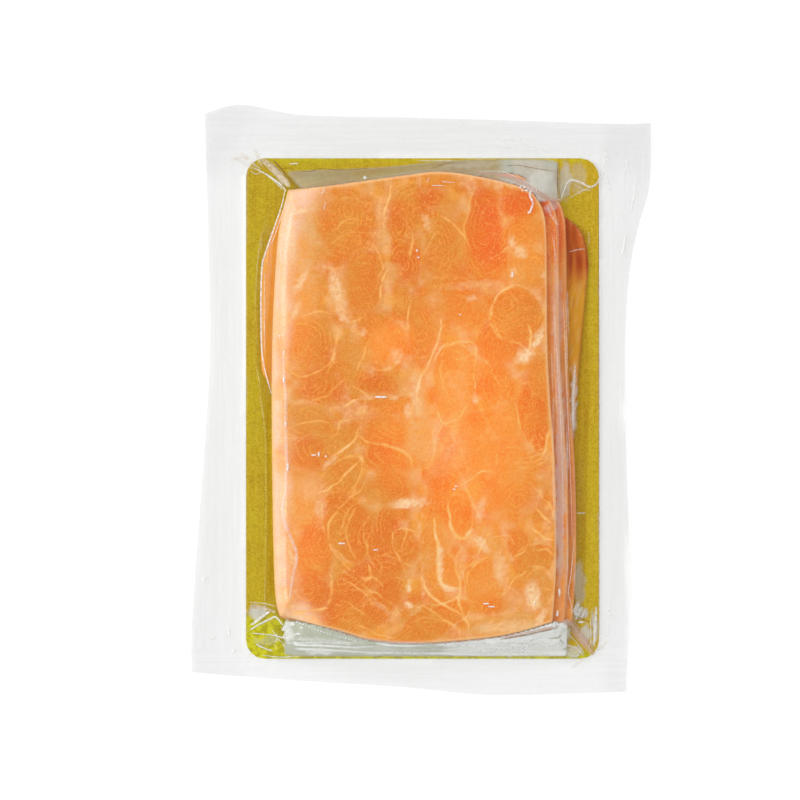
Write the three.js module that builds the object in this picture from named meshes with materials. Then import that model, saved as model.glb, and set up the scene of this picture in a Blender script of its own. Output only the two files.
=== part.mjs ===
// A vacuum pack of salmon for sushi, lying face up.
//
// Four wide, thin slices of salmon are stacked on a gold card board. A back film lies under the
// board and a front film is drawn down over the slices. Both films reach well past the board, and
// are welded together there in a clear, slightly wavy margin.
//
// Millimetres, +Z up. +X is the pack's right side and +Y its top end, as seen from above.

import * as THREE from "three";

// ---------- driving dimensions ----------

const GAP = 0.3; // clearance between pieces that touch
const FILM = 0.4; // thickness of each film

const BOARD = { x: 0.6, y: -4.2, width: 170, length: 241, corner: 9, thickness: 1 };

const SLICE = 3.1; // thickness of the three upper slices
const BOTTOM_SLICE = 2.6; // thickness of the wide slice on the board
const MIDDLE_STEP = 5.8; // how far the second slice shows past the top one, on the right
const LOWER_STEP = 9.6; // the same for the third slice
const EDGE_DROP = 0.8; // rounding of a slice's upper edge, in height
const EDGE_RUN = 1.4; // and in width
const SWELL = 0.35; // height of the soft bumps on the top slice
const PRESSED_SWELL = 0.1; // what is left of them where slices press on each other

const MARGIN_RISE = 1.3; // mean height that the free margin curls up
const MARGIN_WAVE = 0.8; // height of the waves along it
const RIDGE = 2.6; // height of the folds that run from the food to the board's corners
const RIDGE_ANGLE = 0.032; // half the width of such a fold, as an angle seen from the hub

// ---------- heights, from the table up ----------

const BOARD_BOTTOM = FILM + GAP;
const BOARD_TOP = BOARD_BOTTOM + BOARD.thickness;
const BOTTOM_SLICE_TOP = BOARD_TOP + GAP + BOTTOM_SLICE;
const FOOT = BOTTOM_SLICE_TOP + GAP; // where the three upper slices stand
const LAYER = SLICE + GAP;
const SHOULDER = 3 * SLICE + 2 * GAP; // radius of the rounded left side of the stack

// ---------- outlines ----------

// Each side is a smooth curve through its points, and neighbouring sides share a corner. All
// outlines run counter-clockwise: right side up, top leftwards, left side down, bottom rightwards.

const CURVE_STEPS = 24;

function outline(...sides) {
  return sides.flatMap((side) => {
    const curve = new THREE.SplineCurve(side.map(([x, y]) => new THREE.Vector2(x, y)));
    return curve.getPoints(CURVE_STEPS).slice(0, -1);
  });
}

function shifted(side, byX, byY = 0) {
  return side.map(([x, y]) => [x + byX, y + byY]);
}

const POUCH_OUTLINE = outline(
  [
    [98.5, -140.5], [100.5, -90], [98.8, -30], [98.1, 20], [99.8, 58], [104.6, 84], [110, 104],
    [110.4, 133.2],
  ],
  [[110.4, 133.2], [92, 132.8], [46, 134.4], [-10, 136], [-58, 137.2], [-87, 142.1], [-104.3, 137.7]],
  [[-104.3, 137.7], [-102.6, 80], [-101.6, 30], [-103.6, -12.5], [-110.2, -104], [-110.4, -131.2]],
  [[-110.4, -131.2], [-62.4, -135], [-10.2, -138.2], [34.5, -142.1], [98.5, -140.5]],
);

const FOOD_RIGHT = [
  [63, -107], [64.9, -77], [64.4, -34], [62, 0], [60.6, 29], [60.1, 77], [58.4, 91], [54, 99],
];
const FOOD_LEFT = [
  [-64, 101], [-67, 89], [-69.7, 70], [-71.9, 20], [-71.4, -58], [-70.2, -94], [-68, -104],
];
const FOOD_BOTTOM = [[-68, -104], [-39, -111.3], [-24, -115.6], [0, -117.1], [38, -113.6], [63, -107]];

const TOP_OUTLINE = outline(
  FOOD_RIGHT,
  [[54, 99], [46, 103], [28, 107.3], [9, 109.7], [-10, 107.6], [-30, 104.9], [-44, 103], [-64, 101]],
  FOOD_LEFT,
  FOOD_BOTTOM,
);
const MIDDLE_OUTLINE = steppedOutline(MIDDLE_STEP, [[46, 108.4], [30, 107.6], [0, 106], [-40, 101.5]]);
const LOWER_OUTLINE = steppedOutline(LOWER_STEP, [[50, 105.4], [28, 105.6], [0, 104.4], [-40, 100]]);
const BOTTOM_OUTLINE = outline(
  [[71, -105], [72, -60], [73.6, -19.4], [75.6, 9.5], [79.4, 52.9], [80.3, 67.3], [77, 80.8], [68, 89]],
  [[68, 89], [40, 98], [0, 102], [-40, 99], [-64, 97]],
  [
    [-64, 97], [-72, 80], [-76.7, 62.5], [-77.2, 38.4], [-76.8, 14.4], [-71.4, 0], [-70.8, -60],
    [-68, -101],
  ],
  [[-68, -101], [-39, -108], [0, -114], [38, -110.4], [71, -105]],
);

// A slice under the top one, which shows by a step on the right and at the top end.
function steppedOutline(step, topSide) {
  const right = shifted(FOOD_RIGHT, step);
  const left = shifted(FOOD_LEFT, 0, -1);
  const bottom = shifted(FOOD_BOTTOM.slice(1, -1), 0, 0.8);
  return outline(right, [right.at(-1), ...topSide, left[0]], left, [left.at(-1), ...bottom, right[0]]);
}

function roundedRectangle({ x, y, width, length, corner }) {
  const right = x + width / 2;
  const top = y + length / 2;
  const shape = new THREE.Shape();
  shape.absarc(right - corner, top - corner, corner, 0, Math.PI / 2);
  shape.absarc(right - width + corner, top - corner, corner, Math.PI / 2, Math.PI);
  shape.absarc(right - width + corner, top - length + corner, corner, Math.PI, 1.5 * Math.PI);
  shape.absarc(right - corner, top - length + corner, corner, 1.5 * Math.PI, 2 * Math.PI);
  shape.closePath();
  return shape;
}

const BOARD_SHAPE = roundedRectangle(BOARD);
const CORNER_STEPS = 2;

// Where the front film comes down on the board: close to the food at the sides, at the board's
// very edge beyond the two ends, so that it slopes like a tent there.
const LANDING = { x: 1, y: -4.2, width: 155, length: 238, corner: 7 };

// ---------- spokes: the directions in which every outline is measured from one hub ----------

const HUB = new THREE.Vector2(0, -4);
const SPOKE_STEP = 20;
const LEAST_ANGLE = 0.006;
const SPOKES = spokeAngles();

function angleFromHub(point) {
  return Math.atan2(point.y - HUB.y, point.x - HUB.x);
}

function spokeAngles() {
  const corners = [POUCH_OUTLINE, TOP_OUTLINE].flatMap((points) => {
    return [0, 1, 2, 3].map((side) => points[side * CURVE_STEPS]);
  });
  const angles = corners.map(angleFromHub);
  const points = BOARD_SHAPE.getPoints(CORNER_STEPS);
  points.forEach((point, index) => {
    const next = points[(index + 1) % points.length];
    const pieces = Math.max(1, Math.round(point.distanceTo(next) / SPOKE_STEP));
    for (let piece = 0; piece < pieces; piece += 1) {
      const angle = angleFromHub(point.clone().lerp(next, piece / pieces));
      if (angles.every((other) => Math.abs(other - angle) > LEAST_ANGLE)) {
        angles.push(angle);
      }
    }
  });
  return angles.sort((first, second) => first - second);
}

// How far an outline reaches from the hub along each spoke.
function reachOf(points) {
  return SPOKES.map((angle) => {
    const direction = new THREE.Vector2(Math.cos(angle), Math.sin(angle));
    let reach = 0;
    points.forEach((point, index) => {
      const start = point.clone().sub(HUB);
      const end = points[(index + 1) % points.length].clone().sub(HUB);
      const startSide = direction.cross(start);
      const endSide = direction.cross(end);
      if (startSide * endSide <= 0 && startSide !== endSide) {
        start.lerp(end, startSide / (startSide - endSide));
        reach = Math.max(reach, start.dot(direction));
      }
    });
    return reach;
  });
}

function place(spoke, reach, z) {
  const x = HUB.x + reach * Math.cos(SPOKES[spoke]);
  const y = HUB.y + reach * Math.sin(SPOKES[spoke]);
  return new THREE.Vector3(x, y, z);
}

function hubPoint(z) {
  return new THREE.Vector3(HUB.x, HUB.y, z);
}

// ---------- closed solids between two sheets ----------

// A sheet is a list of rings, from the rim inwards, and the point that closes it in the middle.
function sheet(rings, centre) {
  return { rings, centre };
}

function ring(reaches, heightAt) {
  return SPOKES.map((_, spoke) => place(spoke, reaches[spoke], heightAt(spoke, reaches[spoke])));
}

function solidBetween(upper, lower) {
  const count = SPOKES.length;
  const points = [];
  const faces = [];
  const next = (spoke) => (spoke + 1) % count;

  function addSheet({ rings, centre }, facesUp) {
    const first = points.length;
    rings.forEach((corners) => points.push(...corners));
    points.push(centre);
    const addFace = (a, b, c) => faces.push(...(facesUp ? [a, b, c] : [a, c, b]));
    for (let level = 0; level < rings.length; level += 1) {
      const outer = first + level * count;
      const inner = outer + count;
      for (let spoke = 0; spoke < count; spoke += 1) {
        if (level === rings.length - 1) {
          addFace(outer + spoke, outer + next(spoke), inner);
        } else {
          addFace(outer + spoke, outer + next(spoke), inner + next(spoke));
          addFace(outer + spoke, inner + next(spoke), inner + spoke);
        }
      }
    }
    return first;
  }

  const top = addSheet(upper, true);
  const bottom = addSheet(lower, false);
  for (let spoke = 0; spoke < count; spoke += 1) {
    faces.push(bottom + spoke, bottom + next(spoke), top + next(spoke));
    faces.push(bottom + spoke, top + next(spoke), top + spoke);
  }

  const geometry = new THREE.BufferGeometry().setFromPoints(points);
  geometry.setIndex(faces);
  geometry.computeVertexNormals();
  return geometry;
}

// ---------- the salmon ----------

function inward(reaches, distance) {
  return reaches.map((reach) => reach - distance);
}

// From one reach to another, by one share for all spokes or by a list of shares.
function between(outer, inner, shares) {
  const shareOf = (spoke) => (Array.isArray(shares) ? shares[spoke] : shares);
  return outer.map((reach, spoke) => THREE.MathUtils.lerp(reach, inner[spoke], shareOf(spoke)));
}

const TOP_RIM = reachOf(TOP_OUTLINE);

// 1 where the rim of the stack lies left of the first x, 0 right of the second, and smooth between.
function leftShare(fullAt, noneAt) {
  return TOP_RIM.map((reach, spoke) => {
    return 1 - THREE.MathUtils.smoothstep(place(spoke, reach, 0).x, fullAt, noneAt);
  });
}

const ROUNDNESS = leftShare(-66, -48); // how far the layers are bent down at the rim
const TUCK = leftShare(-44, -18); // how far each layer is drawn in behind the one above

// Height above its foot of a layer that wraps the rounded left side at the given radius.
const SHOULDER_START = 0.97; // leaves a short upright face under the round
function drape(spoke, reach, radius) {
  const across = Math.max(0, SHOULDER * SHOULDER_START - (TOP_RIM[spoke] - reach));
  const round = Math.sqrt(Math.max(0, radius * radius - across * across));
  return THREE.MathUtils.lerp(radius, round, ROUNDNESS[spoke]);
}

// Soft bumps of the flesh, from -1 to 1.
function bumps({ x, y }) {
  return 0.45 * Math.sin(x / 14 + y / 31) + 0.35 * Math.sin(y / 17 - x / 23) + 0.2 * Math.sin(x / 9 + 2);
}

function edgeFall(inset) {
  const near = 1 - Math.min(1, inset / EDGE_RUN);
  return EDGE_DROP * (1 - Math.sqrt(1 - near * near));
}

// Rings that the slices share, so that their faces run parallel across the shoulder and over the
// flat middle.
const SHOULDER_RINGS = [LAYER, 4.8, 2 * LAYER, 8.2, SHOULDER].map((inset) => inward(TOP_RIM, inset));
const FLAT_RINGS = [0.7, 0.4].map((share) => SHOULDER_RINGS.at(-1).map((reach) => reach * share));

// One of the three draped slices: layer 0 is the top one, and each next is tucked in behind it.
function drapedSlice(points, layer, edgeInsets, shoulderRings) {
  const radius = SHOULDER - layer * LAYER;
  const inside = radius - SLICE;
  const topSwell = layer === 0 ? SWELL : PRESSED_SWELL;
  const bottomSwell = layer === 2 ? 0 : PRESSED_SWELL;
  const tuckedRim = inward(TOP_RIM, layer * LAYER);
  const rim = between(reachOf(points), tuckedRim, TUCK);
  const bumpAt = (spoke, reach) => bumps(place(spoke, reach, 0));
  return {
    rim,
    rings: [...edgeInsets.map((inset) => inward(rim, inset)), ...shoulderRings, ...FLAT_RINGS],
    topAt: (spoke, reach) => FOOT + drape(spoke, reach, radius) + topSwell * bumpAt(spoke, reach),
    bottomAt: (spoke, reach) => FOOT + drape(spoke, reach, inside) + bottomSwell * bumpAt(spoke, reach),
  };
}

function flatSlice(points) {
  const rim = reachOf(points);
  return {
    rim,
    rings: [rim, inward(rim, 0.5), inward(rim, EDGE_RUN)],
    topAt: () => BOTTOM_SLICE_TOP,
    bottomAt: () => BOARD_TOP + GAP,
  };
}

const SLICES = {
  slice_top: drapedSlice(TOP_OUTLINE, 0, [0, 0.5, EDGE_RUN], SHOULDER_RINGS),
  slice_middle: drapedSlice(MIDDLE_OUTLINE, 1, [0, EDGE_RUN], SHOULDER_RINGS.slice(2)),
  slice_lower: drapedSlice(LOWER_OUTLINE, 2, [0, EDGE_RUN], SHOULDER_RINGS.slice(4)),
  slice_bottom: flatSlice(BOTTOM_OUTLINE),
};

function sliceGeometry({ rim, rings, topAt, bottomAt }) {
  const roundedTop = (spoke, reach) => topAt(spoke, reach) - edgeFall(rim[spoke] - reach);
  const top = sheet(rings.map((reaches) => ring(reaches, roundedTop)), hubPoint(topAt(0, 0)));
  const bottom = sheet(rings.map((reaches) => ring(reaches, bottomAt)), hubPoint(bottomAt(0, 0)));
  return solidBetween(top, bottom);
}

// ---------- the films ----------

const POUCH = reachOf(POUCH_OUTLINE);
const BOARD_REACH = reachOf(BOARD_SHAPE.getPoints(CORNER_STEPS));
const WELD_START = BOARD_REACH.map((reach) => reach + 2.6);
const LANDING_REACH = landingReach();
const CORNER_ANGLES = cornerAngles();

// The landing line, kept outside every slice.
function landingReach() {
  const clear = 2;
  const slices = Object.values(SLICES);
  return reachOf(roundedRectangle(LANDING).getPoints(CORNER_STEPS)).map((reach, spoke) => {
    const widest = Math.max(...slices.map((slice) => slice.rim[spoke]));
    return Math.max(reach, widest + GAP + FILM + clear);
  });
}

// The directions of the middles of the board's rounded corners.
function cornerAngles() {
  const cutBack = BOARD.corner * (1 - Math.SQRT1_2);
  const halfWidth = BOARD.width / 2 - cutBack;
  const halfLength = BOARD.length / 2 - cutBack;
  return [[1, 1], [-1, 1], [-1, -1], [1, -1]].map(([sideX, sideY]) => {
    return angleFromHub({ x: BOARD.x + sideX * halfWidth, y: BOARD.y + sideY * halfLength });
  });
}

// The margin is free past the weld's start and curls up in waves towards its edge.
function marginLift(spoke, reach) {
  const across = (reach - WELD_START[spoke]) / (POUCH[spoke] - WELD_START[spoke]);
  const angle = SPOKES[spoke];
  const wave = 0.6 * Math.sin(7 * angle + 0.6) + 0.4 * Math.sin(12 * angle + 2);
  return Math.max(0, across) ** 2 * (MARGIN_RISE + MARGIN_WAVE * wave);
}

// A fold runs from each corner of the food over the corner of the board.
function fold(spoke, reach) {
  const start = TOP_RIM[spoke];
  const along = THREE.MathUtils.clamp((reach - start) / (WELD_START[spoke] - start), 0, 1);
  const nearest = Math.min(...CORNER_ANGLES.map((angle) => Math.abs(angle - SPOKES[spoke])));
  return RIDGE * Math.max(0, 1 - nearest / RIDGE_ANGLE) * Math.sin(Math.PI * along);
}

// Height of the front film over the board and the food, at the given clearance from them. Past
// each slice's rim it slopes straight down to the landing line.
function coverHeight(spoke, reach, clearance) {
  const landing = LANDING_REACH[spoke];
  const heights = Object.values(SLICES).map(({ rim, topAt }) => {
    const edge = rim[spoke];
    const top = topAt(spoke, Math.min(reach - clearance, edge));
    const past = (reach - clearance - edge) / (landing - clearance - edge);
    return THREE.MathUtils.lerp(top, BOARD_TOP, THREE.MathUtils.clamp(past, 0, 1));
  });
  return clearance + Math.max(...heights) + fold(spoke, reach);
}

// The rims of the lower slices, from the bottom one up, each kept outside the one above it.
function lowerRims(clearance, topRim) {
  const apart = 0.5;
  const rims = [];
  let inner = topRim;
  for (const { rim } of [SLICES.slice_middle, SLICES.slice_lower, SLICES.slice_bottom]) {
    inner = rim.map((reach, spoke) => Math.max(reach + clearance, inner[spoke] + apart));
    rims.unshift(inner);
  }
  return rims;
}

// One face of the front film: its clearance from the food, and its height in the flat margin.
function frontSheet(clearance, marginHeight) {
  const onMargin = (spoke, reach) => marginHeight + marginLift(spoke, reach);
  const onPack = (spoke, reach) => coverHeight(spoke, reach, clearance);
  const rimRings = SLICES.slice_top.rings.slice(0, -FLAT_RINGS.length);
  const overTop = rimRings.map((reaches) => inward(reaches, -clearance));
  const overRims = lowerRims(clearance, overTop[0]);
  const foot = inward(WELD_START, clearance > GAP ? 0 : 0.8);
  const marginRings = [POUCH, between(POUCH, WELD_START, 0.35), between(POUCH, WELD_START, 0.7), foot];
  const boardEdge = inward(BOARD_REACH, -clearance);
  const halfway = between(LANDING_REACH, overRims[0], 0.5);
  const packRings = [boardEdge, LANDING_REACH, halfway, ...overRims, ...overTop, ...FLAT_RINGS];
  const rings = [
    ...marginRings.map((reaches) => ring(reaches, onMargin)),
    ...packRings.map((reaches) => ring(reaches, onPack)),
  ];
  return sheet(rings, hubPoint(clearance + SLICES.slice_top.topAt(0, 0)));
}

function frontFilmGeometry() {
  const under = frontSheet(GAP, FILM + GAP);
  const over = frontSheet(GAP + FILM, 2 * FILM + GAP);
  return solidBetween(over, under);
}

function backFilmGeometry() {
  const reaches = [0, 0.35, 0.7, 1].map((share) => between(POUCH, WELD_START, share));
  const face = (height) => {
    const rings = reaches.map((reach) => ring(reach, (spoke, at) => height + marginLift(spoke, at)));
    return sheet(rings, hubPoint(height));
  };
  return solidBetween(face(FILM), face(0));
}

// ---------- the board ----------

function boardGeometry() {
  const settings = { depth: BOARD.thickness, bevelEnabled: false, curveSegments: CORNER_STEPS };
  return new THREE.ExtrudeGeometry(BOARD_SHAPE, settings).translate(0, 0, BOARD_BOTTOM);
}

// ---------- the scene graph ----------

const FILM_FINISH = new THREE.MeshStandardMaterial({
  color: 0xf0f1ef,
  roughness: 0.12,
  metalness: 0,
  transparent: true,
  opacity: 0.2,
});
const GOLD_FINISH = new THREE.MeshStandardMaterial({ color: 0xc4a62e, roughness: 0.38, metalness: 0.55 });
const TOP_FLESH = new THREE.MeshStandardMaterial({ color: 0xf28d46, roughness: 0.42, metalness: 0 });
const LOWER_FLESH = new THREE.MeshStandardMaterial({ color: 0xe07b3a, roughness: 0.42, metalness: 0 });
const DARK_FLESH = new THREE.MeshStandardMaterial({ color: 0xb9542a, roughness: 0.42, metalness: 0 });

function named(name, geometry, material) {
  const mesh = new THREE.Mesh(geometry, material);
  mesh.name = name;
  return mesh;
}

function salmonStack() {
  const stack = new THREE.Group();
  stack.add(named("slice_bottom", sliceGeometry(SLICES.slice_bottom), DARK_FLESH));
  stack.add(named("slice_lower", sliceGeometry(SLICES.slice_lower), LOWER_FLESH));
  stack.add(named("slice_middle", sliceGeometry(SLICES.slice_middle), LOWER_FLESH));
  stack.add(named("slice_top", sliceGeometry(SLICES.slice_top), TOP_FLESH));
  return stack;
}

// The pack is centred on the middle of its own box, with its back film on the table.
function salmonPack() {
  const pack = new THREE.Group();
  pack.add(named("film_back", backFilmGeometry(), FILM_FINISH));
  pack.add(named("board", boardGeometry(), GOLD_FINISH));
  pack.add(salmonStack());
  pack.add(named("film_front", frontFilmGeometry(), FILM_FINISH));
  const middle = new THREE.Box3().setFromObject(pack).getCenter(new THREE.Vector3());
  pack.position.set(-middle.x, -middle.y, 0);
  return new THREE.Group().add(pack);
}

export default salmonPack();
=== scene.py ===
# %% [markdown]
# # A vacuum pack of sliced salmon
#
# Four wide, thin slices of raw salmon lie on a gold card board. A clear film lies under the board
# and another is drawn down over the slices by vacuum, and both are welded together round the board.
#
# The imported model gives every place: the board is used as it is, with a better finish. The slices
# and the films are built again here, because flesh and film need far finer meshes than a solid does.

import math

import bpy
import numpy as np
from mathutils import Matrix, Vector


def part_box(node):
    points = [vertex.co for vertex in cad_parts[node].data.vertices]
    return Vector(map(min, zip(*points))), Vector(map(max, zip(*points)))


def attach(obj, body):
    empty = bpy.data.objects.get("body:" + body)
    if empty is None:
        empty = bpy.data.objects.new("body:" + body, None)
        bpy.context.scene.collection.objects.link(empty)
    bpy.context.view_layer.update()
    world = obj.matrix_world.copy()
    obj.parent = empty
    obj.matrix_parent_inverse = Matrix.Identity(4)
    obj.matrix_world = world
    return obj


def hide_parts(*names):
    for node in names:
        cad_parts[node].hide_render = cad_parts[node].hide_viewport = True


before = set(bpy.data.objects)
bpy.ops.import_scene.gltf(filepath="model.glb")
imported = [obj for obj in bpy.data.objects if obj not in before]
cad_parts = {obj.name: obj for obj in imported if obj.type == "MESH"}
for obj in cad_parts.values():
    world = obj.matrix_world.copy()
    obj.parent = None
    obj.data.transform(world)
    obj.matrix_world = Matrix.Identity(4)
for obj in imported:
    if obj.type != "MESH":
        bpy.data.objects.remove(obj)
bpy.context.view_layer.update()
print("packed nodes:", sorted(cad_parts))

# %% [markdown]
# ## Two ways to say where a thing is
#
# Real sizes are in millimetres, measured from the middle of the pack's drawing. Marks that belong
# to this one pack, such as a crease or a seam of fat, are placed by the pixel of the photograph in
# which they show. The photograph looks straight down, so one pixel always covers the same length.

# %% Millimetres, pixels and the frame
MM = 0.001
PIXEL = 0.4816  # millimetres that one pixel of the photograph covers
DRAWING_PIXEL = (421.2, 399.8)  # the drawing's middle, in pixels
BOARD_MIDDLE = (0.6, -4.2)  # the board's middle in the drawing

board_low, board_high = (np.array(corner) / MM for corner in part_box("board"))
SHIFT = np.array([*((board_low + board_high)[:2] / 2 - BOARD_MIDDLE), 0.0])
BOARD_TOP = board_high[2]


def photo(x, y):
    """The place in the drawing that a pixel of the photograph shows, in millimetres."""
    return ((x - DRAWING_PIXEL[0]) * PIXEL, (DRAWING_PIXEL[1] - y) * PIXEL)


def photo_line(*pixels):
    return np.array([photo(x, y) for x, y in pixels])


def in_frame(points):
    """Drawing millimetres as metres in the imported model's frame."""
    return (np.asarray(points, float) + SHIFT) * MM


print(f"board top at {BOARD_TOP:.2f} mm, drawing shifted by {SHIFT[:2].round(2)} mm")

# %% [markdown]
# ## The camera
#
# The photograph was taken from straight above. A long lens from far away keeps the sides of the
# pack from leaning, as in the photograph. The middle of its frame is a little left of the pack's.

# %% Camera
FRAME_PIXELS = 800  # the photograph is as high as it is wide
FRAME_WIDTH = FRAME_PIXELS * PIXEL * MM
CAMERA_HEIGHT = 5.0  # metres
SENSOR = 36.0  # width of the camera's sensor in millimetres

camera_data = bpy.data.cameras.new("camera")
camera_data.sensor_width = SENSOR
camera_data.lens = SENSOR * CAMERA_HEIGHT / FRAME_WIDTH
camera_data.clip_end = 20 * CAMERA_HEIGHT
camera = bpy.data.objects.new("camera", camera_data)
bpy.context.scene.collection.objects.link(camera)
camera.location = in_frame([*photo(FRAME_PIXELS / 2, FRAME_PIXELS / 2), CAMERA_HEIGHT / MM])
bpy.context.scene.camera = camera
print(f"lens {camera_data.lens:.0f} mm, frame {FRAME_WIDTH * 1000:.1f} mm wide")

# %% [markdown]
# ## Light and table
#
# The pack was photographed on a white light table, so that even the air beside it is pure white and
# the clear margin is only a little greyer. That could be had from a strong lamp overhead, but it
# would burn out the flesh. So the table here glows faintly and is also lit by a bright sky. Large soft
# lamps on the left and at the top end give the film its highlights and the stack its soft shade.

# %% Sky and lamps
scene = bpy.context.scene
scene.view_settings.view_transform = "Standard"

SKY_LIGHT = 0.66
# Place and size in metres, and power in watts.
LAMPS = {
    "lamp_left": ((-1.5, 0.25, 1.1), (0.4, 1.3), 9),
    "lamp_top": ((0.5, 1.6, 1.3), (1.2, 0.4), 6),
    "lamp_over": ((-1.3, -0.3, 1.8), (0.4, 1.2), 10),
}

world = bpy.data.worlds.new("studio")
world.use_nodes = True
world.node_tree.nodes["Background"].inputs["Color"].default_value = (1.0, 1.0, 1.0, 1)
world.node_tree.nodes["Background"].inputs["Strength"].default_value = SKY_LIGHT
scene.world = world


def soft_lamp(name, place, size, power):
    """A rectangular soft lamp that looks at the pack."""
    lamp = bpy.data.lights.new(name, "AREA")
    lamp.shape = "RECTANGLE"
    lamp.size, lamp.size_y = size
    lamp.energy = power
    piece = bpy.data.objects.new(name, lamp)
    scene.collection.objects.link(piece)
    piece.location = place
    piece.rotation_mode = "QUATERNION"
    piece.rotation_quaternion = piece.location.to_track_quat("Z", "Y")


for name, (place, size, power) in LAMPS.items():
    soft_lamp(name, place, size, power)
print("soft lamps:", ", ".join(LAMPS))

# %% Light table
TABLE_REACH = 15.0  # half the table's width, in metres, so that its edge is far out of sight
TABLE_DROP = 0.0002  # how far under the pack the table lies, so that the two never cross

table_corners = [(side_x * TABLE_REACH, side_y * TABLE_REACH, 0)
                 for side_x, side_y in ((-1, -1), (1, -1), (1, 1), (-1, 1))]
table_mesh = bpy.data.meshes.new("light_table")
table_mesh.from_pydata(table_corners, [], [(0, 1, 2, 3)])
table = bpy.data.objects.new("light_table", table_mesh)
scene.collection.objects.link(table)
table.location.z = -TABLE_DROP
print(f"light table {2 * TABLE_REACH:.0f} m wide")

# %% [markdown]
# ## Small helpers for materials
#
# Every finish is a node tree. These helpers only save typing: one adds a node, the others are the
# few nodes used all the time. Colours are written as they look in the photograph, 0 to 255, and
# turned into the linear values that a shader needs. An effect that several materials share is built
# once as a node group with named sockets, so that each material can use it with its own values.

# %% Colours
def tone(red, green, blue):
    """A colour as seen in the photograph, as linear light."""
    values = np.array([red, green, blue]) / 255
    linear = np.where(values <= 0.04045, values / 12.92, ((values + 0.055) / 1.055) ** 2.4)
    return (*linear.tolist(), 1.0)


print(f"a grey of 128 in the photograph is {tone(128, 128, 128)[0]:.3f} in linear light")


# %% A tree of nodes
class Tree:
    """A node tree that adds and joins nodes in one step."""

    def __init__(self, node_tree):
        self.nodes = node_tree.nodes
        self.links = node_tree.links

    def add(self, kind, inputs=None, **settings):
        node = self.nodes.new(kind)
        for name, value in settings.items():
            setattr(node, name, value)
        for name, value in (inputs or {}).items():
            self.set(node.inputs[name], value)
        return node

    def set(self, socket, value):
        if isinstance(value, bpy.types.NodeSocket):
            self.links.new(value, socket)
        else:
            socket.default_value = value

    def math(self, operation, *values, clamp=False):
        node = self.add("ShaderNodeMath", dict(enumerate(values)), operation=operation)
        node.use_clamp = clamp
        return node.outputs[0]

    def between(self, value, low, high, to_low=0.0, to_high=1.0):
        """A smooth step from to_low to to_high while value goes from low to high."""
        limits = {"From Min": low, "From Max": high, "To Min": to_low, "To Max": to_high}
        node = self.add("ShaderNodeMapRange", {"Value": value, **limits})
        node.interpolation_type = "SMOOTHSTEP"
        return node.outputs[0]

    def blend(self, share, first, second, mode="MIX"):
        """Two colours blended by share."""
        node = self.add("ShaderNodeMix", data_type="RGBA", blend_type=mode)
        self.set(node.inputs[0], share)
        self.set(node.inputs[6], first)
        self.set(node.inputs[7], second)
        return node.outputs[2]

    def ramp(self, value, *stops):
        """A colour read from a row of (place, colour) stops."""
        node = self.add("ShaderNodeValToRGB", {"Fac": value})
        ramp = node.color_ramp
        while len(ramp.elements) < len(stops):
            ramp.elements.new(0.5)
        for element, (place, colour) in zip(ramp.elements, stops):
            element.position = place
            element.color = colour
        return node.outputs[0]

    def noise(self, place, scale, detail=2.0, stretch=(1, 1, 1), roughness=0.5):
        """Soft noise around 0.5. scale is in bumps a metre, stretch multiplies it by axis."""
        mapping = self.add("ShaderNodeMapping", {"Vector": place, "Scale": stretch})
        inputs = {"Vector": mapping.outputs[0], "Scale": scale, "Detail": detail, "Roughness": roughness}
        return self.add("ShaderNodeTexNoise", inputs).outputs[0]

    def painted(self, name):
        """A value that the mesh carries at each of its points."""
        return self.add("ShaderNodeAttribute", attribute_name=name).outputs["Fac"]

    def place(self):
        """The place on the piece, in metres."""
        return self.add("ShaderNodeTexCoord").outputs["Object"]

    def principled(self, **inputs):
        """A Principled surface. A socket's name is written with _ for each space."""
        named = {name.replace("_", " "): value for name, value in inputs.items()}
        return self.add("ShaderNodeBsdfPrincipled", named).outputs[0]

    def shader_mix(self, share, first, second):
        """Two shaders mixed, with that share of the second."""
        return self.add("ShaderNodeMixShader", {0: share, 1: first, 2: second}).outputs[0]

    def finish(self, surface):
        self.add("ShaderNodeOutputMaterial", {"Surface": surface})


# %% Materials and groups
def new_material(name):
    """An empty material and its tree."""
    material = bpy.data.materials.new(name)
    material.use_nodes = True
    material.node_tree.nodes.clear()
    return material, Tree(material.node_tree)


def new_group(name, inputs, outputs):
    """A shader node group with named sockets: each is (name, socket type, default or None)."""
    group = bpy.data.node_groups.new(name, "ShaderNodeTree")
    for direction, sockets in (("INPUT", inputs), ("OUTPUT", outputs)):
        for socket_name, kind, *default in sockets:
            socket = group.interface.new_socket(socket_name, in_out=direction, socket_type=kind)
            if default:
                socket.default_value = default[0]
    tree = Tree(group)
    return group, tree, tree.add("NodeGroupInput").outputs, tree.add("NodeGroupOutput").inputs


def use_group(tree, group, **values):
    """The outputs of a group placed in a material with its own values."""
    node = tree.add("ShaderNodeGroup")
    node.node_tree = group
    for name, value in values.items():
        tree.set(node.inputs[name], value)
    return node.outputs


print("material helpers ready")

# %% [markdown]
# ## The table's finish
#
# A light table is topped with white acrylic. Pure emission would do for it, but then the pack would
# throw no soft shade on it. So a matt white surface takes the lamps' light, and a faint glow of its
# own lifts it to pure white.

# %% White acrylic
TABLE_GLOW = 0.43

acrylic, tree = new_material("white acrylic")
cloudy = tree.noise(tree.place(), 400, 3)
white = tree.blend(cloudy, (0.61, 0.61, 0.61, 1), (0.63, 0.63, 0.63, 1))
tree.finish(tree.principled(
    Base_Color=white, Roughness=0.6, Emission_Color=(1, 1, 1, 1), Emission_Strength=TABLE_GLOW))
table_mesh.materials.append(acrylic)
print("table's finish:", acrylic.name)

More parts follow.
